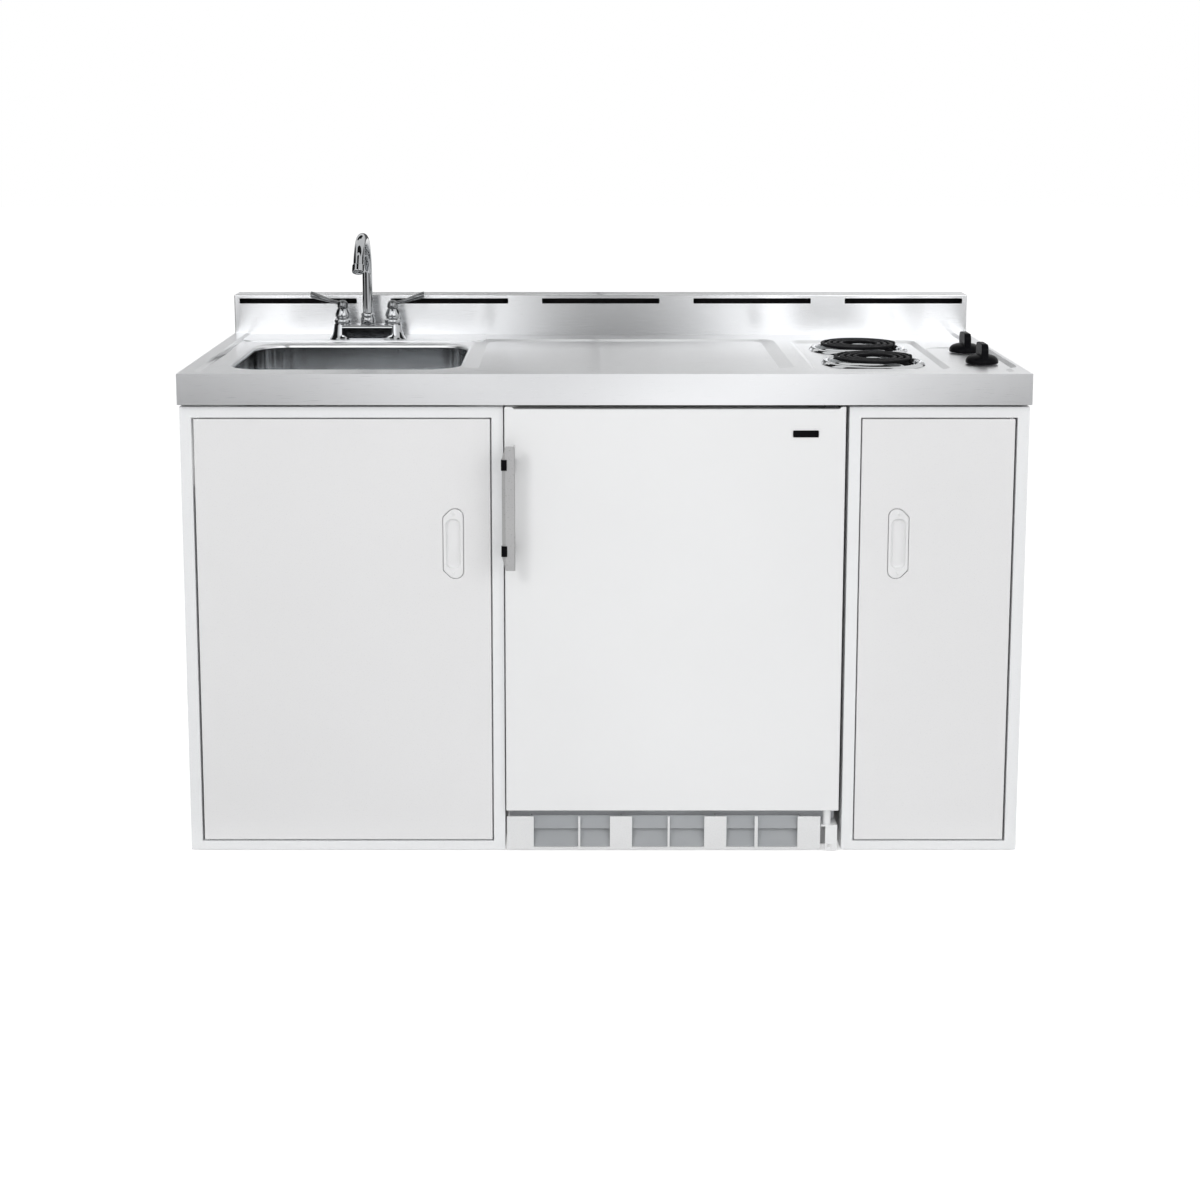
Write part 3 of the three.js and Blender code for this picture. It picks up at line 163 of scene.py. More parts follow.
FRAME_ENAMEL = finish("frame_enamel", (0.865, 0.875, 0.885), (0.845, 0.855, 0.865), rough=(0.26, 0.34),
                      grain_scale=420, coat=0.15, **ENAMEL)
FRIDGE_ENAMEL = finish("fridge_enamel", (0.86, 0.865, 0.87), (0.84, 0.845, 0.85), rough=(0.16, 0.24),
                       grain_scale=300, coat=0.35, waviness=0.0002, **ENAMEL)
GALVANISED = finish("galvanised_sheet", (0.60, 0.62, 0.63), (0.53, 0.55, 0.56), 0.9, (0.38, 0.5), 120, 220,
                    bump=0.1, spangle=True)
WHITE_PLASTIC = finish("white_moulding", (0.80, 0.805, 0.81), (0.78, 0.785, 0.79), 0, (0.24, 0.36), 5, 600,
                       bump=0.06)
PULL_PLASTIC = finish("pull_moulding", (0.815, 0.818, 0.823), (0.80, 0.803, 0.808), 0, (0.30, 0.40), 9, 700,
                      bump=0.06)
RAIL_PAINT = finish("grey_rail_paint", (0.80, 0.81, 0.84), (0.74, 0.75, 0.78), 0, (0.4, 0.55), 9, 300,
                    bump=0.06)
GREY_PLASTIC = finish("grey_louvre", (0.37, 0.385, 0.40), (0.33, 0.345, 0.36), 0, (0.34, 0.46), (7, 7, 12),
                      500, bump=0.05)
BLACK_PLASTIC = finish("black_moulding", (0.005, 0.005, 0.006), (0.003, 0.003, 0.004), 0, (0.24, 0.36), 20,
                       500, bump=0.04, index=1.12)
ELEMENT_BLACK = finish("element_sheath", (0.014, 0.014, 0.016), (0.006, 0.006, 0.007), 0, (0.45, 0.62), 45,
                       420, bump=0.2, depth=0.0002, index=1.15)
BLACK_PAINT = finish("black_paint", (0.035, 0.035, 0.037), (0.02, 0.02, 0.022), 0, (0.35, 0.5), 12, 260,
                     bump=0.08, depth=0.0002)
GREY_PAINT = finish("grey_grip_paint", (0.46, 0.46, 0.46), (0.42, 0.42, 0.425), 0.2, (0.26, 0.36), 6, 380,
                    bump=0.05)
# near black, for the inside of the upstand: painted shade that makes its slots read dark
SLOT_SHADE_PAINT = finish("painted_shade_inside_upstand", (0.012, 0.012, 0.013), (0.006, 0.006, 0.006), 0, (0.7, 0.9), 15,
                     200, bump=0.1, depth=0.0002)
GASKET = finish("gasket_vinyl", (0.70, 0.70, 0.69), (0.66, 0.66, 0.65), 0, (0.5, 0.65), 9, 300, bump=0.08,
                depth=0.0002)
SHELF_GLASS = finish("shelf_glass", (0.86, 0.95, 0.93), (0.82, 0.93, 0.90), 0, (0.02, 0.06), 4, 30,
                     through=0.9, alpha=0.9)
CLEAR_PLASTIC = finish("clear_moulding", (0.88, 0.92, 0.95), (0.84, 0.89, 0.93), 0, (0.06, 0.16), 6, 90,
                       through=0.75, index=1.49)
PORCELAIN = finish("plain_ceramic", (0.72, 0.69, 0.61), (0.66, 0.63, 0.55), 0, (0.5, 0.7), 30, 300,
                   bump=0.12, depth=0.0002)
SLOT_FINISH = {
    "steel": BRUSHED, "chrome": CHROME, "cabinet_enamel": CABINET_ENAMEL, "fridge_enamel": FRIDGE_ENAMEL,
    "galvanised": GALVANISED, "white_plastic": WHITE_PLASTIC, "grey_plastic": GREY_PLASTIC,
    "black_plastic": BLACK_PLASTIC, "element_black": ELEMENT_BLACK, "grey_paint": GREY_PAINT,
    "gasket": GASKET, "shelf_glass": SHELF_GLASS, "clear_plastic": CLEAR_PLASTIC, "porcelain": PORCELAIN,
}
NODE_SLOT = {part["node"]: part["material_slot"] for part in frame["record"]["subparts"]}
NODE_BODY = {node: body for body, nodes in frame["record"]["behaviour"]["bodies"].items() for node in nodes}

# ---------------- bench tools
SAME_POINT = 0.00001  # points that lie closer than this are one


def put_down():
    """Leaves edit mode with nothing selected."""
    if bpy.context.object and bpy.context.object.mode != "OBJECT":
        bpy.ops.object.mode_set(mode="OBJECT")
    bpy.ops.object.select_all(action="DESELECT")


def take_up(piece):
    put_down()
    piece.select_set(True)
    bpy.context.view_layer.objects.active = piece


def open_up(piece, mode="FACE"):
    take_up(piece)
    bpy.ops.object.mode_set(mode="EDIT")
    bpy.ops.mesh.select_mode(type=mode)
    bpy.ops.mesh.select_all(action="DESELECT")


def open_whole(piece, mode="FACE"):
    open_up(piece, mode)
    bpy.ops.mesh.select_all(action="SELECT")


def pick(piece, kind, wanted):
    """Selects the faces, edges or vertices for which wanted(element) is true, in edit mode."""
    mesh = bmesh.from_edit_mesh(piece.data)
    mesh.normal_update()
    for element in getattr(mesh, kind):
        if wanted(element):
            element.select_set(True)
    mesh.select_flush_mode()
    bmesh.update_edit_mesh(piece.data)


def pick_anew(piece, kind, wanted):
    bpy.ops.mesh.select_all(action="DESELECT")
    pick(piece, kind, wanted)


def draw_out(move):
    bpy.ops.mesh.extrude_region_move(TRANSFORM_OT_translate={"value": move})


def resize(shares, centre):
    bpy.ops.transform.resize(value=shares, center_override=centre)


def seal():
    """Merges doubled points, turns the faces outwards and leaves edit mode."""
    bpy.ops.mesh.select_all(action="SELECT")
    bpy.ops.mesh.remove_doubles(threshold=SAME_POINT)
    bpy.ops.mesh.normals_make_consistent(inside=False)
    put_down()


def remove_faces(piece, wanted):
    open_up(piece)
    pick(piece, "faces", wanted)
    bpy.ops.mesh.delete(type="FACE")
    put_down()


def edge_middle(edge):
    return (edge.verts[0].co + edge.verts[1].co) / 2


def along(edge, axis):
    direction = edge.verts[1].co - edge.verts[0].co
    return direction.length > 0 and abs(direction[axis]) > 0.999 * direction.length


def settle(piece):
    """Moves a piece's place into its mesh."""
    take_up(piece)
    bpy.ops.object.transform_apply(location=True, rotation=True, scale=True)
    return piece


def keep_as(name):
    """Names the piece that was just added, and moves its place into its mesh."""
    bpy.context.object.name = name
    return settle(bpy.context.object)


def block(name, low, high):
    """A box between two corners, in metres."""
    put_down()
    middle = [(a + b) / 2 for a, b in zip(low, high)]
    bpy.ops.mesh.primitive_cube_add(size=1, location=middle, scale=[b - a for a, b in zip(low, high)])
    return keep_as(name)


def at_depth(name, x0, x1, d0, d1, z0, z1):
    """A box in millimetres, with depths in place of Y."""
    return block(name, (x0 * MM, FRONT + d0 * MM, z0 * MM), (x1 * MM, FRONT + d1 * MM, z1 * MM))


def apply_modifier(piece, name, kind, **settings):
    take_up(piece)
    modifier = piece.modifiers.new(name, kind)
    for setting, value in settings.items():
        setattr(modifier, setting, value)
    bpy.ops.object.modifier_apply(modifier=name)
    return piece


def round_edges(piece, radius, segments=3, angle=30.0, clamp=True):
    return apply_modifier(piece, "rounding", "BEVEL", width=radius * MM, segments=segments,
                          limit_method="ANGLE", angle_limit=math.radians(angle), use_clamp_overlap=clamp,
                          miter_outer="MITER_ARC")


def soften(piece, angle=35.0):
    """Shades the rounded edges smooth and keeps the flats between them flat."""
    take_up(piece)
    bpy.ops.object.shade_smooth_by_angle(angle=math.radians(angle))
    return apply_modifier(piece, "flats", "WEIGHTED_NORMAL", mode="FACE_AREA", weight=80, keep_sharp=True)


def combine(piece, tools, operation):
    """Cuts tools out of a piece, or joins them on, and throws them away."""
    for tool in tools:
        apply_modifier(piece, "carpentry", "BOOLEAN", operation=operation, object=tool, solver="EXACT")
        bpy.data.objects.remove(tool)
    return piece


def carve(piece, *tools):
    return combine(piece, tools, "DIFFERENCE")


def weld(piece, *tools):
    return combine(piece, tools, "UNION")


def thicken(piece, thickness):
    """Gives a skin its wall, behind its faces."""
    return apply_modifier(piece, "sheet", "SOLIDIFY", thickness=thickness * MM, offset=-1,
                          use_even_offset=True)


def round_corners(piece, axis, radius, segments, wanted=lambda edge: True):
    """Rounds the edges of a box that run along one axis."""
    open_up(piece, "EDGE")
    pick(piece, "edges", lambda edge: along(edge, axis) and wanted(edge))
    bpy.ops.mesh.bevel(offset=radius * MM, segments=segments, affect="EDGES")
    put_down()
    return piece


def lifted(profile, height):
    return [(radius, height + z) for radius, z in profile]


def turned(name, x, depth, profile, steps=48, ring=False):
    """A form turned about an upright axis from (radius, height) in millimetres. A ring is open inside."""
    put_down()
    axis = Vector((x * MM, FRONT + depth * MM, 0))
    radius, height = profile[0]
    bpy.ops.mesh.primitive_circle_add(vertices=steps, radius=radius * MM,
                                      location=axis + Vector((0, 0, height * MM)))
    piece = keep_as(name)
    open_whole(piece, "EDGE")
    if not ring:
        bpy.ops.mesh.edge_face_add()
    for next_radius, next_height in profile[1:]:
        draw_out((0, 0, (next_height - height) * MM))
        if next_radius != radius:
            share = next_radius / radius
            resize((share, share, 1), axis + Vector((0, 0, next_height * MM)))
        radius, height = next_radius, next_height
    if ring:
        bpy.ops.mesh.select_all(action="SELECT")
        bpy.ops.mesh.region_to_loop()
        bpy.ops.mesh.bridge_edge_loops()
    seal()
    return piece


def lofted(name, sections):
    """A form drawn out along X. Each section has a centre, a width and a thickness in millimetres."""
    put_down()
    centre, wide, thick = sections[0]
    bpy.ops.mesh.primitive_circle_add(vertices=28, radius=0.5 * MM, location=Vector(centre) * MM,
                                      rotation=(0, math.radians(90), 0), fill_type="NGON")
    bpy.context.object.scale = (thick, wide, 1)
    piece = keep_as(name)
    open_whole(piece)
    for next_centre, next_wide, next_thick in sections[1:]:
        draw_out((Vector(next_centre) - Vector(centre)) * MM)
        resize((1, next_wide / wide, next_thick / thick), Vector(next_centre) * MM)
        centre, wide, thick = next_centre, next_wide, next_thick
    seal()
    return piece


def hand_in(piece, body, slot, material, *replaced):
    """Gives a finished piece its material, its body and the solids that it stands for."""
    piece.data.materials.clear()
    piece.data.materials.append(material)
    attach(piece, body)
    if replaced:
        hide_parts(*replaced)


def paint_faces(piece, material, wanted):
    """Gives the faces for which wanted(face) is true a second finish."""
    piece.data.materials.append(material)
    for face in piece.data.polygons:
        if wanted(face):
            face.material_index = 1


def copy_of(node, name):
    """A merged copy of a solid, with the flats in one face each."""
    put_down()
    piece = bpy.data.objects.new(name, frame["nodes"][node].data.copy())
    scene.collection.objects.link(piece)
    piece.data.materials.clear()
    open_whole(piece, "VERT")
    bpy.ops.mesh.remove_doubles(threshold=2 * SAME_POINT)
    bpy.ops.mesh.dissolve_limited(angle_limit=math.radians(0.6))
    put_down()
    return piece


def dress(node, radius, smooth, material=None):
    """Rounds the edges of a solid whose shape is right and gives it its finish."""
    piece = copy_of(node, f"{node}_finished")
    if radius:
        round_edges(piece, radius, 2, clamp=False)
    soften(piece, smooth)
    slot = NODE_SLOT[node]
    hand_in(piece, NODE_BODY[node], slot, material or SLOT_FINISH[slot], node)
    return piece


# ---------------- worktop
HALF_WIDTH, UNIT_BACK = 762, 650
UNDER_TOP, RIM_TOP = 836, 892
FIELD = 888  # the flats of the worktop, inside its raised edge
DRAINER_FLOOR, HOB_FLOOR = 884.5, 883
KNOB_FLOOR, LEDGE_TOP = FIELD - 1.6, FIELD + 1.4
BACKSPLASH_FACE = 590
SINK_X, SINK_DEPTH = -476.5, 271
SINK_WIDE, SINK_LONG, SINK_RADIUS = 421, 360, 60
SINK_FLOOR, FLOOR_FALL, WASTE_RADIUS = 723, 2.5, 43.5
SINK_NARROWS, SINK_BEND = 3, 30  # how much less it measures at its floor, and the radius there
ROLL, ROLL_STEPS = 8, 5  # the sink's rolled edge, a quarter round
BURNER_X, BURNER_DEPTH, BURNER_HOLE = 507, {"front": 195, "rear": 389}, 88
KNOB_X, KNOB_DEPTH = 704, {"front": 160, "rear": 318}
SLOT_PITCH, SLOT_HALF = 314.5, 122
SLOT_FOOT, SLOT_HEAD = FIELD + 65.5, FIELD + 76.5
SINK_REACH = (0.24, 0.21)  # metres: nearer to the sink's middle than this, an edge is its opening's
FOLD_REACH = 0.7605  # metres: beyond it the lower edge turns the corner
SHEET_GAP = 0.3  # keeps pieces that meet from sharing a face
THROUGH_TOP = (UNDER_TOP - 20, RIM_TOP + 10)
TOOL_TOP = RIM_TOP + 6


def dish_tool(name, x0, x1, d0, d1, floor, slope_x, slope_y, radius, surface):
    """A tool for a pressed recess: it has its size at a surface of the sheet and narrows to its floor."""
    extra = (TOOL_TOP - surface) / (surface - floor)
    x0, x1 = x0 - slope_x * extra, x1 + slope_x * extra
    d0, d1 = d0 - slope_y * extra, d1 + slope_y * extra
    tool = at_depth(name, x0, x1, d0, d1, floor, TOOL_TOP)
    round_corners(tool, 2, radius, 8)
    open_up(tool)
    pick(tool, "faces", lambda face: face.normal.z < -0.9)
    share = (TOOL_TOP - floor) / max(FIELD - floor, RIM_TOP - FIELD)
    resize((1 - 2 * slope_x * share / (x1 - x0), 1 - 2 * slope_y * share / (d1 - d0), 1),
           Vector(((x0 + x1) / 2 * MM, FRONT + (d0 + d1) / 2 * MM, floor * MM)))
    put_down()
    return tool


def rounded_tool(name, x, depth, wide, long, radius, z0, z1, segments=16):
    tool = at_depth(name, x - wide / 2, x + wide / 2, depth - long / 2, depth + long / 2, z0, z1)
    return round_corners(tool, 2, radius, segments)


def drum_tool(name, x, depth, radius, z0, z1, steps=64):
    put_down()
    bpy.ops.mesh.primitive_cylinder_add(vertices=steps, radius=radius * MM, depth=(z1 - z0) * MM,
                                        location=(x * MM, FRONT + depth * MM, (z0 + z1) / 2 * MM))
    return keep_as(name)


def roll_sink_edge(top, wide, long):
    """Turns the edge of the sink's opening down into the bowl, step by step."""
    centre = Vector((SINK_X * MM, FRONT + SINK_DEPTH * MM, 0))

    def on_sink_edge(edge):
        middle = edge_middle(edge) - centre
        return (edge.is_boundary and abs(middle.x) < SINK_REACH[0] and abs(middle.y) < SINK_REACH[1]
                and edge_middle(edge).z > (FIELD - 3) * MM)

    pick(top, "edges", on_sink_edge)
    last_wide, last_long, last_down = wide, long, 0.0
    for step in range(1, ROLL_STEPS + 1):
        angle = math.radians(90 / ROLL_STEPS * step)
        inwards, down = ROLL * math.sin(angle), ROLL * (1 - math.cos(angle))
        next_wide, next_long = wide - 2 * inwards, long - 2 * inwards
        draw_out((0, 0, (last_down - down) * MM))
        resize((next_wide / last_wide, next_long / last_long, 1), centre)
        last_wide, last_long, last_down = next_wide, next_long, down


def make_worktop():
    back = BACKSPLASH_FACE - SHEET_GAP
    top = at_depth("worktop_pressing", -HALF_WIDTH, HALF_WIDTH, 0, back, UNDER_TOP, RIM_TOP)
    for recess in (  # name, sides, front, back, floor, slopes, corner, and the surface it is pressed into
        ("field", -737, 737, 25, BACKSPLASH_FACE + 90, FIELD, 7, 7, 16, RIM_TOP),
        ("drainer", -246, 340, 100, 515, DRAINER_FLOOR, 30, 9, 34, FIELD),
        ("hob_recess", 381, 635, 92, 500, HOB_FLOOR, 10, 10, 22, FIELD),
        ("knob_recess", 655, 731, 96, 372, KNOB_FLOOR, 5, 5, 34, FIELD),
    ):
        carve(top, dish_tool(*recess))
    ledge = at_depth("tap_ledge", -730, -236, 482, back, FIELD - 3, LEDGE_TOP)
    round_corners(ledge, 2, 26, 8, lambda edge: edge_middle(edge).y < FRONT + 500 * MM)
    weld(top, ledge)
    open_whole(top)
    bpy.ops.mesh.dissolve_limited(angle_limit=math.radians(0.4))
    put_down()
    round_edges(top, 2.6, 4, angle=4)
    wide, long = SINK_WIDE + 2 * ROLL, SINK_LONG + 2 * ROLL
    carve(top, rounded_tool("sink_hole", SINK_X, SINK_DEPTH, wide, long, SINK_RADIUS + ROLL, *THROUGH_TOP))
    for place, depth in BURNER_DEPTH.items():
        carve(top, drum_tool(f"{place}_burner_hole", BURNER_X, depth, BURNER_HOLE, *THROUGH_TOP))

    def unwanted(face):
        """The underside, the back, and the walls that the openings left."""
        middle = face.calc_center_median() / MM
        depth = middle.y - FRONT_MM
        if face.normal.z < -0.99 and middle.z < UNDER_TOP + 1:
            return True
        if face.normal.y > 0.99 and depth > BACKSPLASH_FACE - 2:
            return True
        inside = 6 < depth < BACKSPLASH_FACE - 8 and abs(middle.x) < HALF_WIDTH - 7
        return inside and abs(face.normal.z) < 0.05 and middle.z < FIELD - 2

    remove_faces(top, unwanted)
    open_up(top, "EDGE")
    roll_sink_edge(top, wide, long)
    # the turned-in lower edge of the front
    pick_anew(top, "edges", lambda edge: edge.is_boundary and edge_middle(edge).z < (UNDER_TOP + 1) * MM
              and edge_middle(edge).y < FRONT + 1 * MM and abs(edge_middle(edge).x) < FOLD_REACH)
    draw_out((0, 14 * MM, 0))
    put_down()
    thicken(top, 1.5)
    hand_in(soften(top, 25), "unit", "steel", BRUSHED, "worktop")


def make_bowl():
    bowl = rounded_tool("sink_pressing", SINK_X, SINK_DEPTH, SINK_WIDE + 0.6, SINK_LONG + 0.6, SINK_RADIUS,
                        SINK_FLOOR, FIELD - 6, 14)
    open_up(bowl)
    pick(bowl, "faces", lambda face: face.normal.z < -0.9)
    middle = Vector((SINK_X * MM, FRONT + SINK_DEPTH * MM, SINK_FLOOR * MM))
    resize((1 - SINK_NARROWS / SINK_WIDE, 1 - SINK_NARROWS / SINK_LONG, 1), middle)
    bpy.ops.mesh.bevel(offset=SINK_BEND * MM, segments=8, affect="EDGES")
    # the floor falls a little towards the waste
    pick_anew(bowl, "faces", lambda face: face.normal.z < -0.999)
    bpy.ops.mesh.inset(thickness=14 * MM)
    resize((0.4, 0.45, 1), middle)
    bpy.ops.transform.translate(value=(0, 0, -FLOOR_FALL * MM))
    pick_anew(bowl, "faces", lambda face: face.normal.z > 0.9)
    bpy.ops.mesh.delete(type="FACE")
    bpy.ops.mesh.select_all(action="SELECT")
    bpy.ops.mesh.flip_normals()
    put_down()
    thicken(bowl, 1.2)
    carve(bowl, drum_tool("waste_hole", SINK_X, SINK_DEPTH, WASTE_RADIUS, SINK_FLOOR - 30, SINK_FLOOR + 14))
    hand_in(soften(bowl, 30), "unit", "steel", BOWL_STEEL, "sink_bowl")


def make_backsplash():
    low, high = FIELD - 48, RIM_TOP + 80
    face_depth = BACKSPLASH_FACE
    box = at_depth("backsplash_fold", -HALF_WIDTH, HALF_WIDTH, face_depth, UNIT_BACK, low, high)
    round_edges(box, 2.4, 4)
    for number in range(5):
        middle = (number - 2) * SLOT_PITCH
        slot = at_depth(f"slot_tool_{number}", middle - SLOT_HALF, middle + SLOT_HALF, face_depth - 5,
                        face_depth + 20, SLOT_FOOT, SLOT_HEAD)
        carve(box, round_corners(slot, 1, 1.2, 3))

    def unwanted(face):
        """What the slots' tools left inside, and the underside."""
        middle = face.calc_center_median() / MM
        depth = middle.y - FRONT_MM
        in_slot = (face_depth + 0.5 < depth < face_depth + 22 and FIELD + 60 < middle.z < FIELD + 80
                   and abs(middle.x) < HALF_WIDTH - 7)
        return in_slot or middle.z < low + 0.5 or (face.normal.z < -0.3 and middle.z < low + 3)

    # the faces inside the upstand, which are given the painted shade
    def inner(face):
        middle = face.center / MM
        return (abs(middle.x) < HALF_WIDTH - 1 and middle.z < high - 0.9
                and face_depth + 0.9 < middle.y - FRONT_MM < UNIT_BACK - 1)

    remove_faces(box, unwanted)
    thicken(box, 1.1)
    hand_in(soften(box, 30), "unit", "steel", UPSTAND_STEEL, "backsplash")
    # the inside of the upstand gets the near-black painted shade, so the slots read dark
    paint_faces(box, SLOT_SHADE_PAINT, inner)


make_worktop()
make_bowl()
make_backsplash()

# ---------------- cupboards
CABINET_FRONT = 12
FRAME_BACK = 32
CABINET_TOP = 831
FLOOR_GAP = 2.5
OPENING = (19, 811)
DOOR_PLAY, DOOR_THICK = 2.5, 18
CUPBOARDS = {
    "left": {"outer": (-761, -181.4), "opening": (-740, -202.4), "door": (-736, -204.9), "pull": -272.5,
             "free": 1},
    "right": {"outer": (438.5, 761), "opening": (459.5, 740), "door": (462, 736), "pull": 531, "free": -1},
}
PULL_Z, PULL_WIDE, PULL_TALL = 580.5, 35.5, 127
PULL_SLANT = 15
PULL_SCREW = 54.5  # from the pull's middle to each of its screws
SEAT_HALF, BOX_HALF, HOLLOW_HALF = (14.7, 47.7), (14.4, 47.4), (13.5, 46)  # across and up
GROOVE = 1.5


def make_frame(side, sizes):
    x0, x1 = sizes["outer"]
    shell = at_depth(f"{side}_frame_fold", x0, x1, CABINET_FRONT, FRAME_BACK, FLOOR_GAP, CABINET_TOP)
    carve(shell, at_depth("opening_tool", *sizes["opening"], 0, 60, *OPENING))
    round_edges(shell, 1.0, 3)
    remove_faces(shell, lambda face: face.normal.y > 0.9)
    thicken(shell, 1.0)
    # the lip that the free edge of the door closes against
    free = sizes["free"]
    inner = sizes["opening"][1 if free > 0 else 0]
    lip = sorted((inner - 6 * free, inner + 0.6 * free))
    weld(shell, at_depth("stop_tool", *lip, FRAME_BACK - 1, FRAME_BACK, OPENING[0] - 0.5, OPENING[1] + 0.5))
    hand_in(soften(shell), "unit", "cabinet_enamel", FRAME_ENAMEL, f"{side}_face_frame")


def pull_tool(name, x, wide, tall, d0, d1, free):
    """A plate with round corners on the free side of the door and long oblique ones on the hinge side."""
    plate = at_depth(name, x - wide / 2, x + wide / 2, d0, d1, PULL_Z - tall / 2, PULL_Z + tall / 2)
    side = x - free * wide / 2

    def at(edge, place, height):
        middle = edge_middle(edge) / MM
        return abs(middle.x - place) < 0.05 and abs(abs(middle.z - PULL_Z) - height) < 0.05

    round_corners(plate, 1, 14, 10, lambda edge: (edge_middle(edge).x / MM - x) * free > 0)
    round_corners(plate, 1, PULL_SLANT, 1, lambda edge: at(edge, side, tall / 2))
    round_corners(plate, 1, 2.2, 3, lambda edge: at(edge, side, tall / 2 - PULL_SLANT))
    return round_corners(plate, 1, 5.5, 6, lambda edge: at(edge, side + free * PULL_SLANT, tall / 2))


def pull_box(name, x, half, d0, d1):
    return at_depth(name, x - half[0], x + half[0], d0, d1, PULL_Z - half[1], PULL_Z + half[1])


def make_door(side, sizes):
    x0, x1 = sizes["door"]
    x, free = sizes["pull"], sizes["free"]
    body, front = f"{side}_door", CABINET_FRONT + 0.5
    leaf = at_depth(f"{side}_door_leaf", x0, x1, front, front + DOOR_THICK, OPENING[0] + DOOR_PLAY,
                    OPENING[1] - DOOR_PLAY)
    round_edges(leaf, 1.6, 4)
    # the pull lies in a seat that leaves a fine groove round it
    carve(leaf, pull_tool("seat_tool", x, PULL_WIDE + 2 * GROOVE, PULL_TALL + 2 * GROOVE, front - 2,
                          front + 4, free),
          pull_box("box_seat_tool", x, SEAT_HALF, front - 2, front + 16))
    hand_in(soften(leaf), body, "cabinet_enamel", CABINET_ENAMEL, body)

    cup = pull_tool(f"{side}_pull_cup", x, PULL_WIDE, PULL_TALL, front - 1.2, front + 3.8, free)
    round_edges(cup, 0.4, 2)
    weld(cup, pull_box("box_tool", x, BOX_HALF, front + 3, front + 14))
    hollow = pull_box("hollow_tool", x, HOLLOW_HALF, front - 9, front + 4.2)
    round_corners(hollow, 1, 11, 8)
    carve(cup, round_edges(hollow, 4.8, 8, angle=60))
    hand_in(soften(cup, 40), body, "white_plastic", PULL_PLASTIC, f"{side}_door_pull")
    for number, offset in enumerate((-PULL_SCREW, PULL_SCREW)):
        screw = turned(f"{side}_pull_screw_{number}", 0, -FRONT_MM,
                       [(2.2, -1.0), (3.1, 0.0), (3.0, 0.5), (2.2, 1.0), (0.9, 1.25)], 20)
        carve(screw, block("slot_tool", (-0.0035, -0.00035, 0.0006), (0.0035, 0.00035, 0.003)))
        screw.rotation_euler = (math.radians(90), math.radians(35 + 70 * number), 0)
        screw.location = (x * MM, FRONT + (front - 1.2) * MM, (PULL_Z + offset) * MM)
        settle(screw)
        hand_in(soften(screw, 40), body, "white_plastic", PULL_PLASTIC)


for side, sizes in CUPBOARDS.items():
    make_frame(side, sizes)
    make_door(side, sizes)

# ---------------- refrigerator front
FRIDGE_DOOR = {"x": (-179, 431.5), "front": 4, "back": 47, "z": (80, 828), "lip": 832}
LIP_THICK = 5.6
NOTCH_INSET, NOTCH_END = 17, 420  # the lip is cut away between its two ends
BLANK_PLATE = {"x": (337, 383), "z": (777, 789.5)}
FRIDGE_BACK = 600
HANDLE = {"x": (-182.6, -159.2), "z": (540.5, 766), "front": -29}
CLIP_Z, CLIP_HALF = {"lower": 576, "upper": 732.5}, 9.7
STRIP_WIDE, STRIP_SLANT = 6.2, 23  # of the grip's left strip


def make_fridge_door():
    (x0, x1), (z0, z1) = FRIDGE_DOOR["x"], FRIDGE_DOOR["z"]
    front, back, lip = FRIDGE_DOOR["front"], FRIDGE_DOOR["back"], FRIDGE_DOOR["lip"]
    pan = at_depth("fridge_door_pan", x0, x1, front, back, z0, lip)
    notch_start = x0 + NOTCH_INSET
    notch = at_depth("top_notch_tool", notch_start, NOTCH_END, front - 5, back + 5, z1, lip + 8)
    open_up(notch)
    pick(notch, "faces", lambda face: face.normal.z > 0.9)
    resize((1.03, 1, 1), Vector(((notch_start + NOTCH_END) / 2 * MM, 0, lip * MM)))
    put_down()
    # the lip is thin enough to swing clear of the upper hinge
    carve(pan, notch, at_depth("lip_back_tool", x0 - 5, x1 + 5, front + LIP_THICK, back + 5, z1, lip + 5))
    round_edges(pan, 2.2, 4)
    remove_faces(pan, lambda face: face.normal.y > 0.9
                 and face.calc_center_median().y > FRONT + (back - 1) * MM)
    thicken(pan, 1.0)
    hand_in(soften(pan), "fridge_door", "fridge_enamel", FRIDGE_ENAMEL, "fridge_door")
    plate = at_depth("blank_plate", *BLANK_PLATE["x"], front - 1.4, front - 0.1,
                     *BLANK_PLATE["z"])
    round_edges(round_corners(plate, 1, 1.5, 4), 0.4, 2)
    hand_in(soften(plate), "fridge_door", "black_plastic", BLACK_PLASTIC)


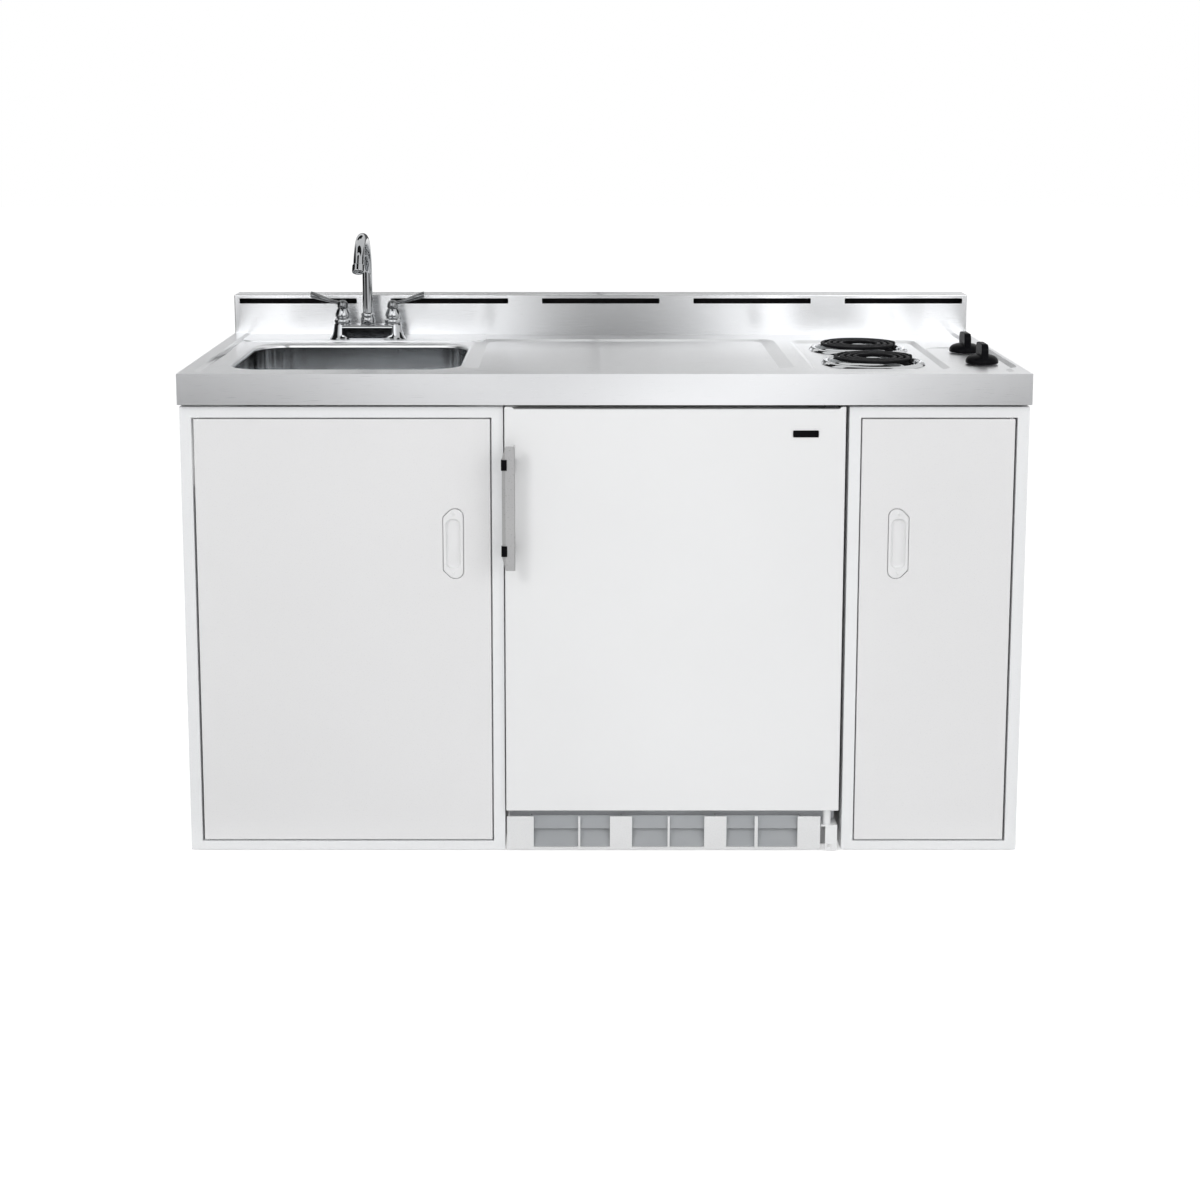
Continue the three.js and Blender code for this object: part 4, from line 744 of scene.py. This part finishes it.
def make_handle():
    (x0, x1), (z0, z1), front = HANDLE["x"], HANDLE["z"], HANDLE["front"]
    door_face = FRIDGE_DOOR["front"] - SHEET_GAP
    grip = at_depth("grip_bar", x0, x1, front, front + 3, z0, z1)
    # a strip at the left and a narrow one at the right lean back, so that they catch the light apart
    for crease, side, back in ((x0 + STRIP_WIDE, x0, 2.2), (x1 - 2, x1, 1.4)):
        open_whole(grip, "EDGE")
        bpy.ops.mesh.bisect(plane_co=(crease * MM, 0, 0), plane_no=(1, 0, 0))
        pick_anew(grip, "edges", lambda edge: abs(edge_middle(edge).x - side * MM) < 0.1 * MM)
        bpy.ops.transform.translate(value=(0, back * MM, 0))
        put_down()
    # the left strip's ends are cut slanting
    open_up(grip, "VERT")
    pick(grip, "verts", lambda v: v.co.x < (x0 + 0.1) * MM)
    resize((1, 1, 1 - 2 * STRIP_SLANT / (z1 - z0)), (0, 0, (z0 + z1) / 2 * MM))
    put_down()
    weld(grip, at_depth("web_tool", x1 - 3, x1 - 0.4, front + 2.4, front + 14, z0, z1))
    round_edges(grip, 0.4, 2, angle=20)
    hand_in(soften(grip, 10), "fridge_door", "grey_paint", GREY_PAINT, "handle_bar")
    for place, middle in CLIP_Z.items():
        low, high = middle - CLIP_HALF, middle + CLIP_HALF
        clip = at_depth(f"grip_clip_{place}", -184, -173.6, front - 1, door_face, low, high)
        carve(clip, at_depth("bar_tool", x0 - 0.2, x1 + 5, front - 0.3, front + 5.6, z0, z1),
              at_depth("frame_clearance", -190, -179.2, front + 5.2, 20, z0, z1))
        weld(clip, at_depth("foot_tool", -179, x1 - 3.6, front + 5.5, door_face, low, high))
        round_edges(clip, 0.5, 2)
        hand_in(soften(clip), "fridge_door", "black_plastic", BLACK_PLASTIC, f"handle_bracket_{place}")


make_fridge_door()
make_handle()

# ---------------- tap
TAP_X, TAP_DEPTH, VALVE = SINK_X, 517, 51
BRIDGE_TOP = FIELD + 31
BONNET_FOOT = BRIDGE_TOP + 3.3
BONNET_TOP = FIELD + 64
FLUTES, FLUTE_RING, FLUTE_RADIUS = 8, 18.6, 4.2
BELL = [(27, 0), (27, 2.2), (26, 3.6), (23.8, 6.5), (21.6, 11), (19.8, 17), (18.6, 24), (18.0, 29),
        (17.6, 31.5), (16.2, 33.2), (10, 33.6)]
SPOUT_SEAT = [(16, -6), (16, 0.5), (15, 1.2)]
BONNET = [(12, -4), (16.2, -0.4), (17.2, 1), (17.4, 4), (16.9, 6.6), (15.2, 8), (13.6, 9.4), (13.9, 11.4),
          (15.0, 13.4), (15.4, 16.5), (14.5, 20.5), (12.6, 25), (11.4, 28.2)]
LEVER_CAP = [(9.6, 0.2), (10.6, 0.8), (11, 3), (10.9, 8), (10, 11.6), (8, 14.4), (5, 16.2), (2, 16.9)]
# along the blade: outwards and upwards from its valve's top, width, thickness
BLADE = [(1, 9, 9, 7), (9, 11, 11, 8), (18, 13.4, 11.5, 7.6), (28, 16.4, 13.5, 8.2), (38, 19.8, 17, 9.6),
         (48, 23.1, 20, 11.6), (56, 25.6, 20.6, 13), (61.4, 27.2, 20, 13.6), (63.6, 27.8, 19, 13),
         (64.4, 28, 17, 11.4)]
COLLAR = [(13.6, 1.4), (14.6, 2.4), (14.9, 6), (14.9, 12), (14.2, 14), (13.2, 15.2), (13.2, 18.6),
          (13.8, 19.6), (13.6, 22), (12, 24), (10.2, 24.6)]
NOZZLE = [(10.6, -8), (11.6, -7.4), (12.2, -6.4), (12.2, 5.4), (11.8, 6.8), (10.6, 7.4), (9.4, 7.4),
          (9.2, 4.5), (4, 4.2)]
NECK_RADIUS, NECK_BEND, NECK_BEND_Z, NECK_SWEEP, NECK_END = 10.2, 80, FIELD + 133, 150, 16


def make_tap():
    foot = FIELD + SHEET_GAP
    body = at_depth("tap_bridge", TAP_X - VALVE, TAP_X + VALVE, TAP_DEPTH - 21.5, TAP_DEPTH + 21.5, foot,
                    BRIDGE_TOP)
    round_corners(body, 0, 5, 5, lambda edge: edge_middle(edge).z > (BRIDGE_TOP - 1) * MM)
    for sign in (-1, 1):
        weld(body, turned("bell_tool", TAP_X + sign * VALVE, TAP_DEPTH, lifted(BELL, foot), 56))
    weld(body, turned("seat_tool", TAP_X, TAP_DEPTH, lifted(SPOUT_SEAT, BRIDGE_TOP), 40))
    hand_in(soften(body, 32), "unit", "chrome", TAP_CHROME_SHADED, "tap_body")
    for sign, name in ((-1, "hot"), (1, "cold")):
        x = TAP_X + sign * VALVE
        bonnet = turned(f"{name}_bonnet_cap", x, TAP_DEPTH,
                        lifted(BONNET, BONNET_FOOT) + [(10.2, BONNET_TOP - 0.2)])
        for number in range(FLUTES):
            angle = number * math.pi / 4
            carve(bonnet, drum_tool("flute_tool", x + FLUTE_RING * math.cos(angle),
                                    TAP_DEPTH + FLUTE_RING * math.sin(angle), FLUTE_RADIUS,
                                    BONNET_FOOT + 9.6, BONNET_TOP + 4, 24))
        hand_in(soften(bonnet, 32), "unit", "chrome", TAP_CHROME_SHADED, f"{name}_bonnet")
        cap = turned(f"{name}_lever_cap", x, TAP_DEPTH, lifted(LEVER_CAP, BONNET_TOP), 40)
        y = FRONT_MM + TAP_DEPTH
        weld(cap, lofted("blade_tool", [((x + sign * out, y, BONNET_TOP + rise), wide, thick)
                                        for out, rise, wide, thick in BLADE]))
        hand_in(soften(cap, 40), f"{name}_lever", "chrome", LEVER_CHROME_PAINTED_DARK, f"{name}_lever")


def make_spout():
    riser, bend, bend_z = BRIDGE_TOP + 18, NECK_BEND * MM, NECK_BEND_Z * MM
    x, y, end = TAP_X * MM, FRONT + TAP_DEPTH * MM, math.radians(NECK_SWEEP)
    put_down()
    bpy.ops.mesh.primitive_circle_add(vertices=32, radius=NECK_RADIUS * MM, location=(x, y, riser * MM),
                                      fill_type="NGON")
    neck = keep_as("gooseneck")
    open_whole(neck)
    draw_out((0, 0, (NECK_BEND_Z - riser) * MM))
    bpy.ops.mesh.spin(steps=36, angle=end, center=(x, y - bend, bend_z), axis=(-1, 0, 0))
    direction = Vector((0, -math.sin(end), math.cos(end)))
    draw_out(direction * (NECK_END - 6) * MM)
    seal()
    tip = Vector((x, y - bend + bend * math.cos(end), bend_z + bend * math.sin(end)))
    nozzle = turned("nozzle_tool", 0, -FRONT_MM, NOZZLE, 40)
    nozzle.rotation_mode = "QUATERNION"
    nozzle.rotation_quaternion = direction.to_track_quat("Z", "Y")
    nozzle.location = tip + direction * (NECK_END + 1) * MM
    settle(nozzle)
    weld(neck, nozzle, turned("collar_tool", TAP_X, TAP_DEPTH, lifted(COLLAR, BRIDGE_TOP), 44))
    hand_in(soften(neck, 32), "spout", "chrome", TAP_CHROME_SHADED, "spout")


make_tap()
make_spout()

# ---------------- hob
HOB_BASE = HOB_FLOOR + SHEET_GAP
TERMINAL_Z, TERMINAL_REACH = HOB_FLOOR - 15, 104
COIL_Z, COIL_OUTER, COIL_PITCH, COIL_TUBE = 895.5, 76, 12, 3.6
FLAT_FROM, FLAT_AT = COIL_Z + COIL_TUBE * 0.62, COIL_Z + COIL_TUBE * 0.72  # the pressed top of the coil
FIRST_TURN, LAST_TURN, TURN_STEP = 14, 270 + 3 * 360, 7.5
RETURN_Z = COIL_Z - 8.1
ARM_TURNS = (60, 180, 300)
HUB = [(13.5, -8.6), (15.4, -8), (15.6, -3.4), (14.6, -1.9), (13, -1.2), (9, -1.9), (4, -2.1)]
PAN = [(14, -28.6), (36, -28), (56, -27), (61, -25.6), (66, -22), (74, -16), (79, -10), (82.2, -3),
       (83.6, 3), (85, 5.4), (88, 6.4), (91.5, 5.9), (94.6, 3.6), (96.6, 0.8), (97, 0.3), (96.4, 0),
       (94, 2.4), (91, 4.8), (88, 5.3), (85.6, 4.6), (84.3, 2.2), (82.8, -3.6), (79.6, -10.8), (74.4, -17),
       (66.4, -23), (61, -26.6), (56, -28), (36, -29), (14, -29.6)]
KNOB_FOOT, BAR_HALF, BAR_LONG, BAR_HIGH = FIELD + 1.5, 6.5, 27, 38
KNOB = [(29, 0), (29.9, 1), (30, 4), (29.4, 7), (27.6, 10), (24, 12.8), (19, 15), (12, 16.4), (4, 16.8)]


def element_route():
    """The run of a heating element in millimetres about the middle of its spiral."""
    reach, low = TERMINAL_REACH, TERMINAL_Z
    route = [(reach, 8, low), (reach - 12, 8, low), (reach - 23, 8.5, low + 3), (reach - 31, 10, low + 15),
             (reach - 33.5, 12, COIL_Z - 6)]
    for count in range(int((LAST_TURN - FIRST_TURN) / TURN_STEP) + 1):
        degrees = FIRST_TURN + count * TURN_STEP
        radius = COIL_OUTER - COIL_PITCH * (degrees - FIRST_TURN) / 360
        angle = math.radians(degrees)
        route.append((radius * math.cos(angle), radius * math.sin(angle), COIL_Z))
    return route + [
        (9, -25, COIL_Z - 1.5), (19, -22, RETURN_Z), (36, -14, RETURN_Z - 0.5), (52, -10, RETURN_Z - 1),
        (reach - 40, -8.5, RETURN_Z - 5), (reach - 28, -8, low + 9), (reach - 20, -8, low + 1.5),
        (reach - 12, -8, low), (reach, -8, low)]


def drawn_tube(name, route, radius):
    """A round bar along a route of points in metres."""
    put_down()
    bpy.ops.curve.primitive_nurbs_path_add(location=(0, 0, 0))
    rod = bpy.context.object
    rod.name = name
    curve, spline = rod.data, rod.data.splines[0]
    spline.points.add(len(route) - len(spline.points))
    for point, place in zip(spline.points, route):
        point.co = (*place, 1)
    spline.order_u, spline.use_endpoint_u, spline.resolution_u = 3, True, 4
    curve.bevel_depth, curve.bevel_resolution, curve.use_fill_caps = radius * MM, 3, True
    bpy.ops.object.convert(target="MESH")
    return bpy.context.object


def make_element(place, depth):
    middle = Vector((BURNER_X * MM, FRONT + depth * MM, 0))
    route = [middle + Vector(point) * MM for point in element_route()]
    rod = drawn_tube(f"{place}_element_rod", route, COIL_TUBE)
    open_up(rod, "VERT")
    pick(rod, "verts", lambda v: v.co.z > FLAT_FROM * MM)
    resize((1, 1, 0), (0, 0, FLAT_AT * MM))
    seal()
    hand_in(soften(rod, 40), f"{place}_element", "element_black", ELEMENT_BLACK, f"{place}_coil")

    spider = turned(f"{place}_element_spider", BURNER_X, depth, lifted(HUB, COIL_Z), 40)
    for turn in ARM_TURNS:
        arm = block("arm_tool", (0.008, -0.0008, (COIL_Z - 10.5) * MM),
                    (0.0815, 0.0008, (COIL_Z - 3.9) * MM))
        arm.rotation_euler = (0, 0, math.radians(turn))
        arm.location = middle
        weld(spider, settle(arm))
    round_edges(spider, 0.25, 2, clamp=False)
    hand_in(soften(spider, 35), f"{place}_element", "chrome", GALVANISED)


def make_pan(place, depth):
    pan = turned(f"{place}_pan_bowl", BURNER_X, depth, lifted(PAN, HOB_BASE), 72, ring=True)
    carve(pan, at_depth("notch_tool", BURNER_X + 66, BURNER_X + 92, depth - 15, depth + 15, TERMINAL_Z - 9,
                        TERMINAL_Z + 15.6))
    hand_in(soften(pan, 40), "unit", "chrome", CHROME, f"{place}_drip_pan")


def make_knob(place, depth):
    knob = turned(f"{place}_knob_grip", KNOB_X, depth, lifted(KNOB, KNOB_FOOT), 64)
    bar_top = KNOB_FOOT + BAR_HIGH
    bar = at_depth("bar_tool", KNOB_X - BAR_HALF, KNOB_X + BAR_HALF, depth - BAR_LONG, depth + BAR_LONG,
                   KNOB_FOOT + 1, bar_top)
    round_corners(bar, 0, 13, 8, lambda edge: edge_middle(edge).z > (bar_top - 8) * MM)
    open_up(bar)
    pick(bar, "faces", lambda face: face.normal.z > 0.9)
    resize((0.8, 1, 1), (KNOB_X * MM, 0, bar_top * MM))
    put_down()
    weld(knob, round_edges(bar, 1.6, 3))
    hand_in(soften(knob, 32), f"{place}_knob", "black_plastic", BLACK_PLASTIC, f"{place}_knob")


for place, depth in BURNER_DEPTH.items():
    make_element(place, depth)
    make_pan(place, depth)
    make_knob(place, KNOB_DEPTH[place])

# ---------------- back of the refrigerator
RUNS, RUN_ENDS, RUN_LOW, RUN_HIGH = 7, (-120, 370), 260, 790
COIL_STANDS_OFF, CONDENSER_TUBE = 14, 2.6
STRAP_X, STRAP_HALF = (-60, 310), 4


def make_condenser():
    """One tube folded up the back of the refrigerator, and two straps that carry it."""
    left, right = RUN_ENDS
    bend = (RUN_HIGH - RUN_LOW) / (RUNS - 1) / 2
    route = []
    for k in range(RUNS):
        start, end = (right, left) if k % 2 else (left, right)
        side, z = (1 if end > start else -1), RUN_LOW + 2 * bend * k
        route += [(start, z), (start + side, z), (end - side, z)]
        if k < RUNS - 1:
            route += [(end + side * bend * math.sin(turn), z + bend * (1 - math.cos(turn)))
                      for turn in (math.radians(15 * step) for step in range(13))]
    y = FRONT + (FRIDGE_BACK + COIL_STANDS_OFF) * MM
    coil = drawn_tube("condenser_coil", [(x * MM, y, z * MM) for x, z in route], CONDENSER_TUBE)
    open_up(coil, "VERT")
    seal()
    for x in STRAP_X:
        strap = at_depth("strap_tool", x - STRAP_HALF, x + STRAP_HALF, FRIDGE_BACK + SHEET_GAP,
                         FRIDGE_BACK + 13, RUN_LOW - 4, RUN_HIGH + 4)
        weld(coil, round_edges(strap, 0.8, 2))
    slot = NODE_SLOT["condenser"]
    hand_in(soften(coil, 40), NODE_BODY["condenser"], slot, SLOT_FINISH[slot], "condenser")


make_condenser()

# ---------------- pieces whose solids have the right shape
SMOOTHER = {"compressor": 65, "drain_trap": 65}
OTHER_FINISH = {"upper_hinge": BLACK_PAINT}
RAIL_DEPTH, RAIL_FOOT = 46, 17
for node, radius in (
    ("left_carcass", 0), ("right_carcass", 0), ("left_back", 0), ("right_back", 0), ("right_shelf", 0.4),
    ("left_catch", 1.5), ("right_catch", 1.5), ("left_hinge_pin", 0), ("right_hinge_pin", 0),
    ("drain_flange", 0), ("strainer_basket", 0), ("drain_trap", 0), ("burner_box", 0),
    ("front_terminal_block", 1), ("rear_terminal_block", 1), ("front_switch", 0.8), ("rear_switch", 0.8),
    ("fridge_wrapper", 0), ("fridge_liner", 0), ("fridge_base", 0), ("compressor", 0),
    ("fridge_door_liner", 0), ("door_gasket", 2), ("upper_door_rack", 0.6), ("lower_door_rack", 0.6),
    ("upper_hinge", 0.5), ("lower_hinge", 0.5), ("kickplate", 0.3), ("kick_louvres", 0.4),
    ("upper_shelf", 0.8), ("lower_shelf", 0.8), ("crisper", 0.8), ("thermostat_box", 3),
    ("thermostat_dial", 0.6),
):
    piece = dress(node, radius, SMOOTHER.get(node, 35), OTHER_FINISH.get(node))
    if node in ("left_carcass", "right_carcass"):
        # the face frame stands there
        carve(piece, at_depth("frame_room", -770, 770, 5, FRAME_BACK + SHEET_GAP, -5, CABINET_TOP + 20))
    if node == "fridge_base":
        paint_faces(piece, RAIL_PAINT, lambda face: face.center.y < FRONT + RAIL_DEPTH * MM
                    and face.center.z > RAIL_FOOT * MM)

# ---------------- studio
FLOOR_TONE, FLOOR_GLOW = 0.86, 0.5
SKY_LIGHT, SKY_SEEN = 0.67, 1.0
DARK_FELT = (0.02, 0.0204, 0.021, 1)


def stage_panel(name, centre, size, turn, material):
    put_down()
    bpy.ops.mesh.primitive_plane_add(size=1, location=centre, rotation=[math.radians(a) for a in turn])
    bpy.context.object.scale = (*size, 1)
    panel = keep_as(name)
    panel.data.materials.append(material)
    return panel


def seen_outright(tree):
    """1 for a ray from the camera, from metal or through glass, and 0 for the light that falls on things."""
    path = wire(tree, "LightPath", {}).outputs
    either = wire(tree, "Math", {0: path["Is Camera Ray"], 1: path["Is Glossy Ray"]}, operation="MAXIMUM")
    return wire(tree, "Math", {0: either.outputs[0], 1: path["Is Transmission Ray"]},
                operation="MAXIMUM").outputs[0]


def floor_material():
    made = bpy.data.materials.new("studio_floor")
    tree = blank(made)
    matt = wire(tree, "BsdfDiffuse", {"Color": (FLOOR_TONE, FLOOR_TONE, FLOOR_TONE, 1)})
    strength = wire(tree, "Math", {0: seen_outright(tree), 1: FLOOR_GLOW}, operation="MULTIPLY")
    glow = wire(tree, "Emission", {"Strength": strength.outputs[0]})
    both = wire(tree, "AddShader", {0: matt.outputs[0], 1: glow.outputs[0]})
    wire(tree, "OutputMaterial", {"Surface": both.outputs[0]})
    return made


def graded_felt(tree, tones):
    """Glows by a tone at each X in metres, and evenly between them."""
    low, high, most = tones[0][0], tones[-1][0], max(tone for x, tone in tones)
    across = wire(tree, "SeparateXYZ", {0: place_in(tree)}).outputs["X"]
    graded = wire(tree, "ValToRGB", {0: ramp(tree, across, 0, 1, low, high)})
    stops = graded.color_ramp.elements
    while len(stops) < len(tones):
        stops.new(0.5)
    for stop, (x, tone) in zip(stops, tones):
        stop.position = (x - low) / (high - low)
        stop.color = (tone / most, tone / most, tone / most * 1.01, 1)
    return {"Color": graded.outputs[0], "Strength": most}


def reflected_card(name, centre, size, turn, *tones):
    """A card that only polished metal sees, graded or dark: steel and chrome have something to mirror."""
    made = bpy.data.materials.new(f"{name}_felt")
    tree = blank(made)
    felt = wire(tree, "Emission", graded_felt(tree, tones) if tones else {"Color": DARK_FELT})
    wire(tree, "OutputMaterial", {"Surface": felt.outputs[0]})
    card = stage_panel(name, centre, size, turn, made)
    card.visible_camera = card.visible_diffuse = card.visible_shadow = card.visible_transmission = False


def studio_world():
    scene.world = bpy.data.worlds.new("studio")
    tree = blank(scene.world)
    strength = ramp(tree, seen_outright(tree), SKY_LIGHT, SKY_SEEN, 0, 1)
    sky = wire(tree, "Background", {"Color": (1, 1, 1, 1), "Strength": strength})
    wire(tree, "OutputWorld", {"Surface": sky.outputs[0]})


def softbox(name, place, aim, size, power):
    put_down()
    bpy.ops.object.light_add(type="AREA", location=place)
    lamp = bpy.context.object
    lamp.name = name
    lamp.data.shape, lamp.data.size, lamp.data.size_y = "RECTANGLE", *size
    lamp.data.energy = power
    lamp.visible_glossy = False
    lamp.rotation_mode = "QUATERNION"
    lamp.rotation_quaternion = (Vector(aim) - Vector(place)).to_track_quat("-Z", "Y")


stage_panel("studio_floor", (0, 0, 0), (40, 40), (0, 0, 0), floor_material())
# behind the camera: a graded card that the upstand and the flats of the worktop mirror
reflected_card("upper_graded_card", (0, -4.6, 3.2), (10, 4.5), (90, 0, 0), (-5, 1.5), (-1.4, 2.1),
               (-0.52, 2.5), (-0.27, 0.4), (-0.12, 0.02), (0.3, 0.02), (0.55, 0.35), (0.78, 2.1), (1.6, 2.2),
               (5, 1.4))
# in front of the doors and on the floor: the front edge mirrors them, bright in the middle, dull at the ends
EDGE_TONES = ((-2.6, 0.03), (-1.0, 0.06), (-0.75, 0.19), (-0.45, 0.5), (-0.14, 0.86), (0.16, 1.22),
              (0.36, 1.1), (0.56, 0.8), (0.76, 0.42), (1.05, 0.1), (2.6, 0.05))
reflected_card("lower_graded_card", (0, -1.6, 0.49), (5.2, 0.94), (90, 0, 0), *EDGE_TONES)
reflected_card("floor_graded_card", (0, -1.0, 0.008), (5.2, 1.2), (0, 0, 0), *EDGE_TONES)
# behind the unit: a card that only the top of the upstand and the tap see
reflected_card("card_behind_unit", (0, 3.0, 1.5), (6, 1.3), (90, 0, 0), (-3, 0.6), (-1.1, 0.6), (-0.5, 0.3),
               (-0.05, 0.1), (0.35, 0.15), (0.8, 0.5), (1.1, 0.62), (3, 0.65))
# dark cards round the tap and over the middle: the chrome's outlines and the upstand's dark middle
for name, centre, size, turn in (
    ("tall_card_left", (-2.2, -1.8, 1.5), (0.6, 2.6), (90, 0, 50)),
    ("tall_card_right", (1.9, -2.6, 1.8), (0.5, 2.6), (90, 0, -35)),
    ("card_overhead", (0.0, -0.1, 3.0), (2.8, 0.8), (0, 0, 0)),
    ("card_over_sink", (-0.75, -1.5, 2.9), (1.3, 1.5), (0, 0, 0)),
    ("card_over_middle", (0.12, -2.4, 3.0), (0.7, 1.6), (0, 0, 0)),
    ("card_above_levers", (-0.78, 1.3, 2.34), (1.2, 0.9), (90, 0, 0)),
    ("side_card_left", (-1.25, 0.3, 1.25), (1.0, 0.9), (90, 0, 90)),
    ("side_card_right", (0.0, 0.4, 1.15), (0.45, 0.3), (90, 0, 90)),
):
    reflected_card(name, centre, size, turn)
studio_world()
softbox("key_softbox", (-2.6, -3.4, 3.2), (0, 0, 0.7), (1.2, 1.0), 50)
softbox("fill_softbox", (3.2, -3.0, 2.2), (0, 0, 0.6), (2.2, 1.8), 36)
